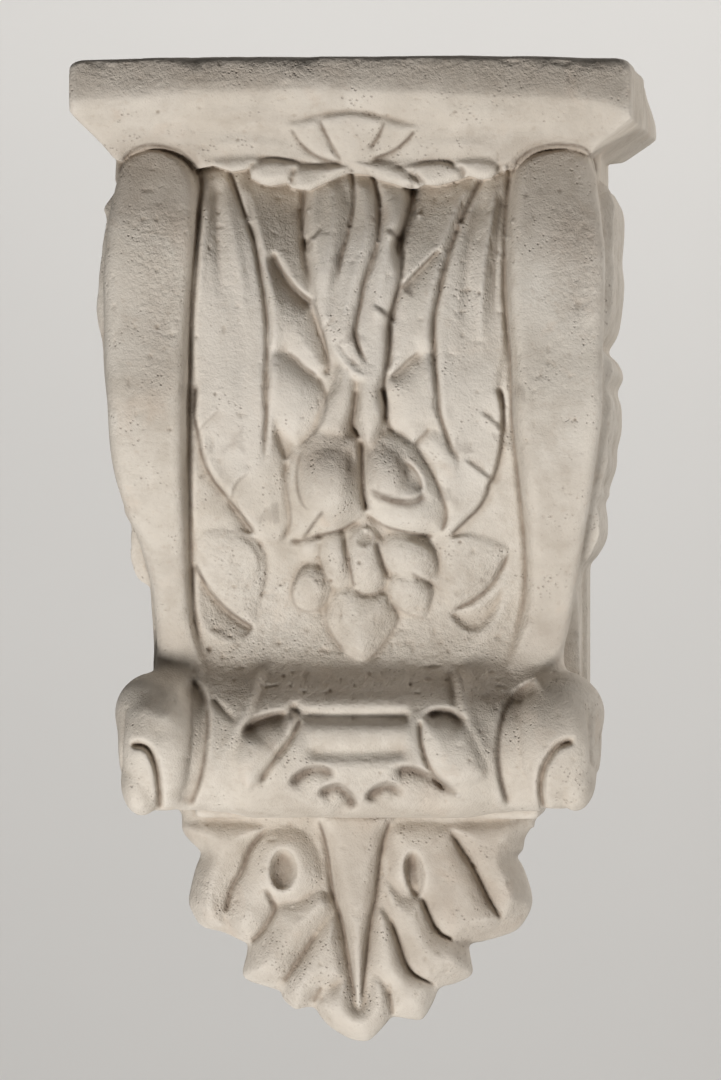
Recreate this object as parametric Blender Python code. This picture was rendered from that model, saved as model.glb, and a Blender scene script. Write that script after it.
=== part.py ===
"""Cast plaster console bracket: a scrolled corbel with an abacus, two side
bands, an acanthus and fruit panel, a rolled foot and a hanging leaf.

Frame: X to the right, -Y to the front, +Z up.  The flat back lies in the
plane y = 0 and the origin is in the middle of that face.
"""
import math

import bmesh
import bpy
from mathutils import Vector

# ---------------------------------------------------------------- sizes (m)
TOP_Z = 0.1800           # bearing face of the abacus
TIP_Z = -0.1792          # tip of the hanging leaf
SLAB_FRONT = 0.1250      # projection of the abacus from the wall
SLAB_HALF_FRONT = 0.1004
SLAB_HALF_BACK = 0.1060  # the mould has draft: the sides widen to the wall
SLAB_FILLET = 0.0155     # upright edge of the abacus
SLAB_WEAR = 0.0012       # rounding of its upper edge
MOULD_FOOT_Z = 0.1340    # lower end of the moulding under the abacus
MOULD_INSET = 0.0185     # how far the moulding comes in from the abacus
SCROLL_HALF = 0.0905     # half width over the two bands
BAND_INNER = 0.0582      # inner edge of a band at its upper end
BAND_EDGE = 0.0085       # height of a band's rounded edge
PLATE_HALF = 0.0812      # back plate behind the neck
PLATE_DEPTH = 0.0240
NECK_Z = -0.0420         # where the panel runs into the roll
ROLL_Z = -0.0684         # axis of the rolled foot
ROLL_Y = -0.0590
ROLL_R = 0.0262
ROLL_HALF = 0.0660
BUTTON_X = 0.0700        # middle of a volute end
PENDANT_TOP_Z = -0.0946
PENDANT_HALF = 0.0640
LOBE_REACH = 0.0058      # side leaves, proud of the bands' outer edges
EPS = 0.0012             # how far a joined piece starts below a surface

PLASTER = (0.68, 0.62, 0.54, 1.0)


# ---------------------------------------------------------------- profiles
def smooth(t):
    t = min(1.0, max(0.0, t))
    return t * t * (3.0 - 2.0 * t)


def scroll_depth(z):
    """S curve of the scroll, from the neck up to the shoulder."""
    return (0.0615 + 0.0425 * smooth((z + 0.052) / 0.118)
            + 0.0110 * smooth((z + 0.050) / 0.085)
            + 0.0019 * smooth((z - 0.070) / 0.045))


def panel_depth(z):
    """Ground of the sunk panel, which turns back under the moulding."""
    under = min(1.3, max(0.0, (z - 0.098) / 0.039))
    return (scroll_depth(z) - 0.0050 * smooth((z + 0.038) / 0.022)
            - 0.0026 * smooth((z + 0.050) / 0.085)
            - 0.0026 * smooth((z + 0.047) / 0.010) - 0.0110 * under ** 2)


def band_depth(z):
    """Crown of a band, rounded off at its upper end."""
    under = min(1.6, max(0.0, (z - 0.113) / 0.035))
    return scroll_depth(z) - 0.0084 * under ** 2


def band_outer(z):
    """Outer edge of a band at its front: straight above, drawn in below."""
    return (SCROLL_HALF - 0.0210 * smooth((0.075 - z) / 0.140) ** 1.35
            - 0.0045 * smooth((z - 0.105) / 0.035))


def band_inner(z):
    inner = BAND_INNER + 0.0015 * smooth((0.02 - z) / 0.03)
    return inner - 0.0130 * smooth((-0.012 - z) / 0.032)


def side_half(z):
    """Half width at the wall, behind the bands."""
    return (PLATE_HALF + (0.0925 - PLATE_HALF) * smooth((z + 0.012) / 0.085)
            - 0.0050 * smooth((z - 0.095) / 0.035))


def side_lobe(z):
    """Serrated edge of the leaf on each side: one swelling per lobe."""
    t = (0.1290 - z) / (0.1290 + 0.0110)
    if t <= 0.0 or t >= 1.0:
        return 0.0
    wave = abs(math.sin(math.pi * (7.0 * t ** 0.92)))
    return LOBE_REACH * (0.35 + 0.65 * wave ** 0.8) * smooth(8.0 * t) \
        * smooth(6.0 * (1.0 - t))


def pendant_half(z):
    """Half width of the hanging leaf, with its lobes and notches."""
    t = (PENDANT_TOP_Z - z) / (PENDANT_TOP_Z - TIP_Z)
    lobes = ((-1.0, 0.180, 0.0642, 0.0070), (0.180, 0.562, 0.0642, 0.0165),
             (0.562, 0.779, 0.0436, 0.0105), (0.779, 0.850, 0.0268, 0.0060),
             (0.850, 1.001, 0.0172, 0.0150))
    for start, end, reach, drop in lobes:
        if t <= end:
            u = (max(t, 0.0) - max(start, 0.0)) / (end - max(start, 0.0))
            swell = math.sin(math.pi * min(1.0, 0.16 + 0.84 * u)) ** 0.5
            return max(0.0022, reach - drop * (1.0 - swell) - 0.25 * drop * u)
    return 0.0022


def pendant_depth(x, z):
    """Projection of the hanging leaf: thick above, thin at the tip."""
    t = smooth((PENDANT_TOP_Z - z) / (PENDANT_TOP_Z - TIP_Z))
    crown = 0.050 - 0.026 * t
    half = pendant_half(z)
    rib = 0.0124 * (1.0 - min(1.0, max(0.0, (PENDANT_TOP_Z - z) / 0.068)))
    ridge = 0.0030 * smooth((rib + 0.004 - abs(x)) / 0.005) if rib else 0.0
    return ridge + crown - (0.010 - 0.004 * t) * min(1.0, abs(x) / half) ** 2


def roll_depth(x, z):
    """Front of the rolled foot, a little fuller beside its ends."""
    radius = ROLL_R + 0.0007 * smooth(1.0 - abs(abs(x) - 0.047) / 0.012)
    d = max(-1.0, min(1.0, (z - ROLL_Z) / radius))
    return -ROLL_Y + radius * math.sqrt(1.0 - d * d)


def mould_inset(z):
    """Cavetto of the moulding, as an inset from the edge of the abacus."""
    t = (TOP_Z - SLAB_FILLET - z) / (TOP_Z - SLAB_FILLET - MOULD_FOOT_Z)
    t = min(1.0, max(0.0, t))
    return MOULD_INSET * math.sin(0.5 * math.pi * t) ** 1.1


def panel_surface(x, z):
    return -panel_depth(z)


def mould_surface(x, z):
    return -(SLAB_FRONT - mould_inset(z))


def pendant_surface(x, z):
    return -pendant_depth(x, z)


def roll_surface(x, z):
    return -roll_depth(x, z)


# ---------------------------------------------------------------- helpers
def object_from(name, bm, where):
    bmesh.ops.recalc_face_normals(bm, faces=bm.faces[:])
    mesh = bpy.data.meshes.new(name)
    bm.to_mesh(mesh)
    bm.free()
    obj = bpy.data.objects.new(name, mesh)
    where.objects.link(obj)
    return obj


def loft(name, sections, where):
    """Closed solid through sections that have the same number of points."""
    bm = bmesh.new()
    rings = [[bm.verts.new(p) for p in ring] for ring in sections]
    count = len(rings[0])
    for low, high in zip(rings, rings[1:]):
        for i in range(count):
            j = (i + 1) % count
            bm.faces.new((low[i], low[j], high[j], high[i]))
    bm.faces.new(rings[0][::-1])
    bm.faces.new(rings[-1])
    return object_from(name, bm, where)


def leaf(name, base, tip, bow, width, rise, surface, where,
         lobes=0, along=8, across=4, sink=0.006, fat=0.5, groove=0.0):
    """Carved leaf: a bowed spine, a swelling width and a crowned top."""
    bm = bmesh.new()
    start, end = Vector(base), Vector(tip)
    run = end - start
    side = Vector((-run.y, run.x)).normalized()
    top, bottom = [], []
    for i in range(along + 1):
        t = i / along
        centre = start + run * t + side * (bow * 4.0 * t * (1.0 - t))
        tangent = run + side * (bow * 4.0 * (1.0 - 2.0 * t))
        normal = Vector((-tangent.y, tangent.x)).normalized()
        half = 0.5 * width * max(0.10, math.sin(math.pi * t) ** fat)
        if lobes:
            half *= 1.0 - 0.16 * abs(math.cos(math.pi * lobes * t))
        row_top, row_bottom = [], []
        for j in range(across + 1):
            s = 2.0 * j / across - 1.0
            p = centre + normal * (half * s)
            crown = math.sqrt(max(0.0, 1.0 - s * s))
            swell = 0.35 + 0.65 * math.sin(math.pi * min(1.0, 0.12 + 0.8 * t))
            high = (rise + EPS) * crown * swell - EPS
            high -= groove * math.exp(-(s / 0.30) ** 2) * swell
            y = surface(p.x, p.y)
            row_top.append(bm.verts.new((p.x, y - high, p.y)))
            row_bottom.append(bm.verts.new((p.x, y + sink, p.y)))
        top.append(row_top)
        bottom.append(row_bottom)
    for i in range(along):
        for j in range(across):
            bm.faces.new((top[i][j], top[i][j + 1],
                          top[i + 1][j + 1], top[i + 1][j]))
            bm.faces.new((bottom[i][j], bottom[i + 1][j],
                          bottom[i + 1][j + 1], bottom[i][j + 1]))
        for j in (0, across):
            bm.faces.new((top[i][j], top[i + 1][j],
                          bottom[i + 1][j], bottom[i][j]))
    for i in (0, along):
        for j in range(across):
            bm.faces.new((top[i][j], bottom[i][j],
                          bottom[i][j + 1], top[i][j + 1]))
    return object_from(name, bm, where)


def ball(name, centre, radii, where, turn=0.0, segments=20, rings=12):
    """Ellipsoid, turned about the Y axis."""
    bm = bmesh.new()
    bmesh.ops.create_uvsphere(bm, u_segments=segments, v_segments=rings,
                              radius=1.0)
    cos_t, sin_t = math.cos(turn), math.sin(turn)
    for v in bm.verts:
        x, y, z = (v.co.x * radii[0], v.co.y * radii[1], v.co.z * radii[2])
        v.co = (centre[0] + x * cos_t + z * sin_t, centre[1] + y,
                centre[2] - x * sin_t + z * cos_t)
    return object_from(name, bm, where)


# ---------------------------------------------------------------- pieces
BAND_STEPS = (0.0, 0.15, 0.50, 0.85, 1.0)
PANEL_STEPS = (1.0, 0.72, 0.45, 0.20)


def half_ring(z, zone):
    """Right half of a level section, from the wall to the middle."""
    if zone == "abacus":
        wear = SLAB_WEAR if z > TOP_Z - 1e-6 else 0.0
        inset = mould_inset(z) + wear
        front = SLAB_FRONT - inset
        half_f, half_b = SLAB_HALF_FRONT - inset, SLAB_HALF_BACK - inset
        outer, inner = half_f, band_inner(z)
        points = [(half_b, 0.0),
                  (half_b + (half_f - half_b) * 0.35, front * 0.35),
                  (half_b + (half_f - half_b) * 0.72, front * 0.72)]
        top = TOP_Z - SLAB_FILLET - 0.004
        for u in BAND_STEPS:
            depth = front
            if z < top and 0.0 < u < 1.0:
                depth = max(front, band_depth(z)
                            - BAND_EDGE * (1.0 - math.sin(math.pi * u) ** 0.55))
            points.append((outer + (inner - outer) * u, depth))
        for u in PANEL_STEPS:
            points.append(((inner - 0.0008) * u, front))
        return points + [(0.0, front)]
    if zone == "scroll":
        outer, inner = band_outer(z), band_inner(z)
        crown, panel = band_depth(z), panel_depth(z)
        lobe = side_lobe(z)
        wall = side_half(z)
        points = [(wall, 0.0), (wall - 0.0006, PLATE_DEPTH),
                  (outer + max(lobe, 0.0004), 0.62 * (crown - BAND_EDGE))]
        for u in BAND_STEPS:
            rise = math.sin(math.pi * u) ** 0.55 if 0.0 < u < 1.0 else 0.0
            points.append((outer + (inner - outer) * u,
                           crown - BAND_EDGE * (1.0 - rise)))
        for u in PANEL_STEPS:
            points.append(((inner - 0.0008) * u, panel))
        return points + [(0.0, panel)]
    if zone == "roll":
        outer = ROLL_HALF
        inner = band_inner(NECK_Z)
        wall = PLATE_HALF - 0.0010 * smooth((NECK_Z - z) / 0.04)
        points = [(wall, 0.0), (wall - 0.0006, PLATE_DEPTH),
                  (outer + 0.0020, 0.0500)]
        for u in BAND_STEPS:
            x = outer + (inner - outer) * u
            depth = roll_depth(x, z) - 0.0050 * (1.0 - u) ** 3
            points.append((x, max(depth, 0.0512)))
        for u in PANEL_STEPS:
            x = (inner - 0.0008) * u
            points.append((x, max(roll_depth(x, z), panel_depth(z))))
        return points + [(0.0, max(roll_depth(0.0, z), panel_depth(z)))]
    half = pendant_half(z)
    inner = 0.66 * half
    points = [(half + 0.0010, 0.0), (half + 0.0007, 0.012),
              (half + 0.0004, 0.024 - 0.008 * smooth((-0.11 - z) / 0.06))]
    for u in BAND_STEPS:
        x = half + (inner - half) * u
        points.append((x, pendant_depth(x, z)))
    rib = 0.0124 * (1.0 - min(1.0, max(0.0, (PENDANT_TOP_Z - z) / 0.068)))
    rib = min(rib + 0.0015, 0.35 * half)
    for x in (0.92 * inner, 0.62 * inner + 0.2 * rib,
              rib + 0.18 * (inner - rib), rib * 0.80):
        points.append((x, pendant_depth(x, z)))
    return points + [(0.0, pendant_depth(0.0, z) + 0.0008)]


def level_section(z, zone):
    right = half_ring(z, zone)
    ring = [(x, -depth, z) for x, depth in right]
    ring += [(-x, -depth, z) for x, depth in reversed(right[:-1])]
    return ring


def spread(high, low, count):
    return [high + (low - high) * i / (count - 1) for i in range(count)]


def make_core(where):
    """Abacus, moulding, scroll, roll and hanging leaf as one solid that is
    lofted through level sections."""
    sections = []
    for z in (TOP_Z, TOP_Z - SLAB_WEAR, TOP_Z - SLAB_FILLET):
        sections.append(level_section(z, "abacus"))
    for z in spread(TOP_Z - SLAB_FILLET - 0.0030, MOULD_FOOT_Z, 8):
        sections.append(level_section(z, "abacus"))
    for z in spread(MOULD_FOOT_Z - 0.0006, NECK_Z, 34):
        sections.append(level_section(z, "scroll"))
    for k in range(10):
        angle = math.radians(78.0 - 152.0 * k / 9.0)
        z = ROLL_Z + ROLL_R * math.sin(angle)
        sections.append(level_section(z, "roll"))
    for z in spread(PENDANT_TOP_Z, TIP_Z, 25):
        sections.append(level_section(z, "pendant"))
    return loft("console_bracket", sections, where)


def ornament(where):
    """All carved leaves, fruit and lobes that are joined to the core."""
    made = []

    def add(*args, **kwargs):
        made.append(leaf(*args, where=where, **kwargs))

    for side in (-1, 1):
        tag = "right" if side > 0 else "left"

        def p(x, z):
            return (side * x, z)

        # big acanthus at each side of the panel
        add("acanthus_stem_" + tag, p(0.0500, 0.1420), p(0.0385, 0.0380),
            side * 0.0022, 0.0260, 0.0052, panel_surface)
        add("acanthus_inner_lobe_" + tag, p(0.0290, 0.1130),
            p(0.0235, 0.0380), side * -0.0050, 0.0200, 0.0068,
            panel_surface, lobes=1)
        add("acanthus_mid_lobe_" + tag, p(0.0262, 0.0430), p(0.0290, 0.0040),
            side * 0.0012, 0.0130, 0.0052, panel_surface)
        add("acanthus_outer_lobe_" + tag, p(0.0560, 0.0620),
            p(0.0440, 0.0190), side * -0.0040, 0.0140, 0.0064,
            panel_surface, lobes=2)
        add("acanthus_tip_lobe_" + tag, p(0.0465, 0.0260), p(0.0350, 0.0030),
            side * -0.0010, 0.0105, 0.0052, panel_surface)
        add("acanthus_foot_" + tag, p(0.0520, 0.0060), p(0.0400, -0.0280),
            side * 0.0020, 0.0190, 0.0046, panel_surface, groove=0.0022)
        # leaves of the moulding beside the shell
        add("moulding_leaf_" + tag, p(0.0420, 0.1460), p(0.0060, 0.1390),
            side * -0.0010, 0.0120, 0.0052, mould_surface, lobes=3)
        add("shell_petal_" + tag, p(0.0235, 0.1570), p(0.0030, 0.1400),
            side * 0.0018, 0.0125, 0.0034, mould_surface)
        # flower under the fruit
        add("flower_petal_high_" + tag, p(0.0240, 0.0080),
            p(0.0080, -0.0020), side * -0.0010, 0.0120, 0.0040,
            panel_surface, along=6)
        add("flower_petal_low_" + tag, p(0.0250, -0.0070),
            p(0.0080, -0.0120), side * 0.0010, 0.0130, 0.0040,
            panel_surface, along=6)
        # ornament of the roll
        add("roll_almond_" + tag, p(0.0300, -0.0560), p(0.0440, -0.0830),
            side * -0.0015, 0.0120, 0.0040, roll_surface, along=8)
        # hanging leaf: hooked lobes round the eyes
        add("pendant_hook_" + tag, p(0.0250, -0.0960), p(0.0420, -0.1390),
            side * 0.0045, 0.0185, 0.0062, pendant_surface, lobes=1)
        add("pendant_outer_" + tag, p(0.0480, -0.0950), p(0.0520, -0.1330),
            side * -0.0050, 0.0150, 0.0048, pendant_surface)
        add("pendant_lower_" + tag, p(0.0190, -0.1240), p(0.0240, -0.1560),
            side * 0.0030, 0.0165, 0.0048, pendant_surface)

        # volute end of the roll with its smaller lower boss
        made.append(ball("volute_" + tag,
                         (side * BUTTON_X, -0.0620, ROLL_Z + 0.0015),
                         (0.0158, 0.0262, 0.0250), where,
                         segments=16, rings=10))
        made.append(ball("volute_boss_" + tag,
                         (side * 0.0775, -0.0640, ROLL_Z - 0.0125),
                         (0.0080, 0.0140, 0.0118), where,
                         segments=12, rings=8))

    # middle leaf of the panel, three overlapping strands
    add("middle_leaf_left", (-0.0110, 0.1400), (-0.0020, 0.0720),
        -0.0030, 0.0150, 0.0088, panel_surface)
    add("middle_leaf_middle", (0.0020, 0.1440), (0.0030, 0.0640),
        0.0016, 0.0135, 0.0105, panel_surface, along=10)
    add("middle_leaf_right", (0.0125, 0.1420), (0.0080, 0.0690),
        0.0030, 0.0150, 0.0088, panel_surface, lobes=2)
    add("stalk_left", (-0.0070, 0.0680), (-0.0105, 0.0400),
        0.0, 0.0110, 0.0075, panel_surface, along=6)
    add("stalk_right", (0.0065, 0.0660), (0.0055, 0.0370),
        0.0, 0.0100, 0.0085, panel_surface, along=6)
    # shell of the moulding
    add("shell_middle", (0.0000, 0.1615), (0.0000, 0.1390), 0.0, 0.0230,
        0.0040, mould_surface, along=8)
    # flower
    add("flower_middle", (0.0010, 0.0110), (0.0020, -0.0140), 0.0, 0.0150,
        0.0062, panel_surface, along=6)
    add("flower_tip", (0.0010, -0.0110), (0.0010, -0.0340), 0.0, 0.0200,
        0.0050, panel_surface, along=6)
    # bar and small leaves of the roll
    add("roll_bar", (-0.0230, -0.0555), (0.0190, -0.0555), 0.0, 0.0050,
        0.0024, roll_surface, along=8, across=4, fat=0.25)

    # two round fruits
    for name, x, z, radius in (("fruit_left", -0.0118, 0.0272, 0.0138),
                               ("fruit_right", 0.0150, 0.0290, 0.0138)):
        made.append(ball(name, (x, -panel_depth(z) + 0.0010, z),
                         (radius, 0.0128, radius * 1.32), where,
                         segments=14, rings=10))
    return made


def eye_cutters(where):
    """Drilled eyes of the hanging leaf."""
    made = []
    for name, x, z, rx, rz, turn in (
            ("eye_left", -0.0305, -0.1150, 0.0036, 0.0068, -0.10),
            ("eye_right", 0.0180, -0.1125, 0.0030, 0.0078, 0.15)):
        y = -pendant_depth(x, z) - 0.0045
        made.append(ball(name, (x, y, z), (rx, 0.0080, rz), where,
                         turn=turn, segments=10, rings=8))
    return made


def main():
    for obj in list(bpy.data.objects):
        bpy.data.objects.remove(obj, do_unlink=True)
    scene = bpy.context.scene
    parts = bpy.data.collections.new("console_bracket_parts")
    pieces = bpy.data.collections.new("joined_pieces")
    scene.collection.children.link(parts)
    scene.collection.children.link(pieces)

    material = bpy.data.materials.new("cast_plaster")
    material.use_nodes = True
    shader = material.node_tree.nodes["Principled BSDF"]
    shader.inputs["Base Color"].default_value = PLASTER
    shader.inputs["Roughness"].default_value = 0.85
    shader.inputs["Metallic"].default_value = 0.0

    core = make_core(parts)
    joined = ornament(pieces)
    cut = eye_cutters(pieces)
    for operation, group in (('UNION', joined), ('DIFFERENCE', cut)):
        for piece in group:
            piece.hide_render = True
            piece.display_type = 'WIRE'
            modifier = core.modifiers.new(piece.name, 'BOOLEAN')
            modifier.operation = operation
            modifier.solver = 'EXACT'
            modifier.object = piece
    core.data.materials.append(material)


main()
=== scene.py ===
"""Looks of a cast plaster console bracket: carved relief, worn and pitted surface, plain studio.

The casting is one closed surface. Its broad form (abacus, side bands on an S curve, rolled foot with
volutes, hanging leaf, back plate) is a solid field; the carving is drawn on top as lobes, grooves and
creases, laid out in the plane of the front view and measured in its 721 x 1080 pixels.
"""
import math

import bpy
import numpy as np
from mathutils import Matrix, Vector


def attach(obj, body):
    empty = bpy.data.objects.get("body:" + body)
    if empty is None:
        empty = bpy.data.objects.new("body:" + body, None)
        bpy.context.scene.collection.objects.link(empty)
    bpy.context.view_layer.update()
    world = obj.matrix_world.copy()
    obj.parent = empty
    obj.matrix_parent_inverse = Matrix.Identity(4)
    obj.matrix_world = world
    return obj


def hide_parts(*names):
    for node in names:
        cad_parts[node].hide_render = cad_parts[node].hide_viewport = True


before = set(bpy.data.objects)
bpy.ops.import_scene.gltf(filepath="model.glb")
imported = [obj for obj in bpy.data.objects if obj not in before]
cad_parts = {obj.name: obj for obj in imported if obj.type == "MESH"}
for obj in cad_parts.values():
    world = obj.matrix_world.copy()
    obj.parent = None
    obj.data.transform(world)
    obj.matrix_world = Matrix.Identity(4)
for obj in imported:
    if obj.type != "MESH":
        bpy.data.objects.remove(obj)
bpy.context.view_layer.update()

# ------------------------------------------------------------------ view of the front
IMG_W, IMG_H = 721, 1080
AZIMUTH = math.radians(4.5)
DISTANCE = 2.2
TARGET = (0.0, -0.07, 0.0072)
FOCAL = 6019.0                     # pixels
CX, CY = 360.5, 540.0
SIN_A, COS_A = math.sin(AZIMUTH), math.cos(AZIMUTH)


def project(x, t, z):
    """Pixel of a point: x across, t depth in front of the wall, z up, all in mm."""
    yy = (0.07 * 1000.0 - t)
    depth = DISTANCE * 1000.0 - x * SIN_A + yy * COS_A
    return CX + FOCAL * (x * COS_A + yy * SIN_A) / depth, CY - FOCAL * (z - TARGET[2] * 1000.0) / depth


def x_at(px, t):
    """Across position in mm of a pixel column, for a surface at depth t."""
    yy = 70.0 - np.asarray(t, float)
    k = (np.asarray(px, float) - CX) / FOCAL
    return (k * (DISTANCE * 1000.0 + yy * COS_A) - yy * SIN_A) / (COS_A + k * SIN_A)


def z_at(py, t):
    return TARGET[2] * 1000.0 + (CY - np.asarray(py, float)) * (DISTANCE * 1000.0 + 70.0 - t) / FOCAL


# ------------------------------------------------------------------ small maths
def smooth(t):
    t = np.clip(t, 0.0, 1.0)
    return t * t * (3.0 - 2.0 * t)


def smax(a, b, k):
    h = np.maximum(k - np.abs(a - b), 0.0) / k
    return np.maximum(a, b) + h * h * (k * 0.25)


def smin(a, b, k):
    return -smax(-a, -b, k)


def blur(a, radius):
    """Soft blur by three running means."""
    n = max(1, int(radius))
    for _ in range(3):
        for axis in (0, 1):
            pad = [(n, n) if ax == axis else (0, 0) for ax in (0, 1)]
            p = np.pad(a, pad, mode="edge")
            c = np.cumsum(p, axis=axis, dtype=np.float64)
            c = np.concatenate([np.zeros_like(np.take(c, [0], axis=axis)), c], axis=axis)
            size = a.shape[axis]
            hi = np.take(c, np.arange(2 * n + 1, 2 * n + 1 + size), axis=axis)
            lo = np.take(c, np.arange(0, size), axis=axis)
            a = ((hi - lo) / (2 * n + 1)).astype(np.float32)
    return a


def curve(points, step=3.0, closed=False):
    """Smooth line through control points."""
    p = np.asarray(points, float)
    q = np.vstack([p[-1], p, p[0], p[1]]) if closed else np.vstack([2 * p[0] - p[1], p, 2 * p[-1] - p[-2]])
    out = []
    for i in range(1, len(q) - 2):
        a, b, c, d = q[i - 1:i + 3]
        n = max(1, int(math.ceil(math.hypot(*(c - b)) / step)))
        t = np.arange(n)[:, None] / n
        out.append(0.5 * (2 * b + (c - a) * t + (2 * a - 5 * b + 4 * c - d) * t * t + (3 * b - a - 3 * c + d) * t ** 3))
    if not closed:
        out.append(p[-1:])
    return np.vstack(out)


# ------------------------------------------------------------------ drawing relief
class Relief:
    """A height map in mm with carving strokes. Right of a stroke is right of its direction of travel, y down."""

    def __init__(self, width, height, level=0.0):
        self.w, self.hgt = width, height
        self.h = np.full((height, width), level, np.float32)
        self.shade_and_dust_lines = np.zeros((height, width), np.float32)       # dark lines in the cuts: dust, and painted shade where the cuts are shaded

    def stroke(self, line, pad, closed=False):
        pts = np.vstack([line, line[:1]]) if closed else line
        pad = float(pad)
        x0 = max(0, int(pts[:, 0].min() - pad)); x1 = min(self.w, int(pts[:, 0].max() + pad) + 2)
        y0 = max(0, int(pts[:, 1].min() - pad)); y1 = min(self.hgt, int(pts[:, 1].max() + pad) + 2)
        d = np.full((y1 - y0, x1 - x0), 1e5, np.float32)
        s = np.zeros_like(d)
        u = np.zeros_like(d)
        seg = pts[1:] - pts[:-1]
        ln = np.maximum(np.hypot(seg[:, 0], seg[:, 1]), 1e-6)
        run = np.concatenate([[0.0], np.cumsum(ln)])
        for i in range(len(seg)):
            ax, ay = pts[i]
            sx, sy = seg[i]
            bx0 = max(x0, int(min(ax, ax + sx) - pad)); bx1 = min(x1, int(max(ax, ax + sx) + pad) + 2)
            by0 = max(y0, int(min(ay, ay + sy) - pad)); by1 = min(y1, int(max(ay, ay + sy) + pad) + 2)
            if bx0 >= bx1 or by0 >= by1:
                continue
            gx = np.arange(bx0, bx1, dtype=np.float32)[None, :] - ax
            gy = np.arange(by0, by1, dtype=np.float32)[:, None] - ay
            t = np.clip((gx * sx + gy * sy) / (ln[i] * ln[i]), 0.0, 1.0)
            dx, dy = gx - t * sx, gy - t * sy
            dd = np.sqrt(dx * dx + dy * dy)
            win = (slice(by0 - y0, by1 - y0), slice(bx0 - x0, bx1 - x0))
            better = dd < d[win]
            d[win] = np.where(better, dd, d[win])
            s[win] = np.where(better, np.sign(sx * gy - sy * gx), s[win])
            u[win] = np.where(better, (run[i] + t * ln[i]) / run[-1], u[win])
        return (slice(y0, y1), slice(x0, x1)), d, s, u

    def inside(self, line, win):
        ys = np.arange(win[0].start, win[0].stop)
        xs = np.arange(win[1].start, win[1].stop)
        m = np.zeros((len(ys), len(xs)), bool)
        n = len(line)
        for i in range(n):
            (ax, ay), (bx, by) = line[i], line[(i + 1) % n]
            if ay == by:
                continue
            lo, hi = (ay, by) if ay < by else (by, ay)
            rows = np.nonzero((ys >= lo) & (ys < hi))[0]
            if len(rows) == 0:
                continue
            xc = ax + (ys[rows] - ay) * (bx - ax) / (by - ay)
            m[rows] ^= xs[None, :] > xc[:, None]
        return m

    def signed(self, points, pad, closed_curve=True, step=3.0):
        """Window and signed distance in pixels, positive inside a closed outline."""
        line = curve(points, step, True) if closed_curve else np.asarray(points, float)
        win, d, _, _ = self.stroke(line, pad, True)
        m = self.inside(line, win)
        d = np.minimum(d, pad * 1.0)
        return win, np.where(m, d, -d)

    @staticmethod
    def taper(u, ends):
        a, b = ends
        t = np.ones_like(u)
        if a > 0:
            t = t * smooth(u / a)
        if b > 0:
            t = t * smooth((1.0 - u) / b)
        return t

    def groove(self, points, width, depth, ends=(0.15, 0.15)):
        """A cut with a rounded bottom (depth > 0) or a rib (depth < 0) along a line."""
        if depth > 0.0:
            width, depth = (width * 0.74, depth * 1.5) if width < 4.6 else (width * 0.88, depth * 1.35)
        win, d, _, u = self.stroke(curve(points), width * 2.6 + 4)
        fade = self.taper(u, ends)
        self.h[win] -= depth * np.exp(-(d / width) ** 2) * fade
        # dark line along a narrow cut: dust and painted shade in the cut
        if depth > 0.8 and width < 5.0:
            mark = min(1.0, depth / 2.7) * np.exp(-(d / 1.9) ** 2) * fade
            self.shade_and_dust_lines[win] = np.maximum(self.shade_and_dust_lines[win], mark)

    def crease(self, points, right, wr, left, wl, ends=(0.15, 0.15), edge=1.3, dust_and_shade_width=2.0):
        """Two layers meeting along a line: each side has its own height at the line, easing out over its width."""
        win, d, s, u = self.stroke(curve(points), max(wr, wl) * 3.0 + 2)
        w = 0.5 + 0.5 * np.clip(s * d / edge, -1.0, 1.0)
        v = w * right * np.exp(-((d / wr) ** 1.3)) + (1.0 - w) * left * np.exp(-((d / wl) ** 1.3))
        fade = self.taper(u, ends)
        self.h[win] += 1.2 * v * fade
        # dark line on the low side of the step: dust and painted shade at its foot
        low = s * d if right < left else -s * d
        mark = min(1.0, abs(right - left) / 3.2) * np.exp(-((low - 0.5 * dust_and_shade_width) / dust_and_shade_width) ** 2) * fade
        self.shade_and_dust_lines[win] = np.maximum(self.shade_and_dust_lines[win], mark)

    def lobe(self, points, top, r, base=None, tilt=(0.0, 0.0), k=0.6, edge=1.0, power=2.0, closed_curve=True, cup=0.0, root=0.72):
        """A domed form inside an outline, from base at its edge to top, joined to what is there."""
        reach = max(r, 6.0) + 40.0
        win, sd = self.signed(points, reach, closed_curve)
        c = np.asarray(points, float).mean(0)
        gx = np.arange(win[1].start, win[1].stop)[None, :] - c[0]
        gy = np.arange(win[0].start, win[0].stop)[:, None] - c[1]
        t = np.clip((sd + edge) / (r + edge), 0.0, 1.0)
        prof = (1.0 - (1.0 - t) ** power) ** root
        here = self.h[win]
        b = here.min() if base is None else base
        v = b + (top - b) * prof + (tilt[0] * gx + tilt[1] * gy) * prof - cup * smooth(sd / r)
        joined = smax(here, v, k)
        self.h[win] = np.where(sd > -edge, joined, here)

    def ball(self, cx, cy, rx, ry, top, base, turn=0.0, power=2.0, k=0.8, root=0.75, below=1.0):
        """A rounded boss on an ellipse, turned by some degrees."""
        reach = int(max(rx, ry, ry * below)) + 2
        x0, x1 = max(0, int(cx) - reach), min(self.w, int(cx) + reach + 1)
        y0, y1 = max(0, int(cy) - reach), min(self.hgt, int(cy) + reach + 1)
        gx = np.arange(x0, x1)[None, :] - cx
        gy = np.arange(y0, y1)[:, None] - cy
        a = math.radians(turn)
        u = (gx * math.cos(a) + gy * math.sin(a)) / rx
        v = (-gx * math.sin(a) + gy * math.cos(a)) / ry
        v = np.where(v > 0, v / below, v)
        q = np.abs(u) ** power + np.abs(v) ** power
        h = base + (top - base) * np.maximum(0.0, 1.0 - q ** (2.0 / power)) ** root
        win = (slice(y0, y1), slice(x0, x1))
        here = self.h[win]
        self.h[win] = np.where(q < 1.0, smax(here, h, k), here)

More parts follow.
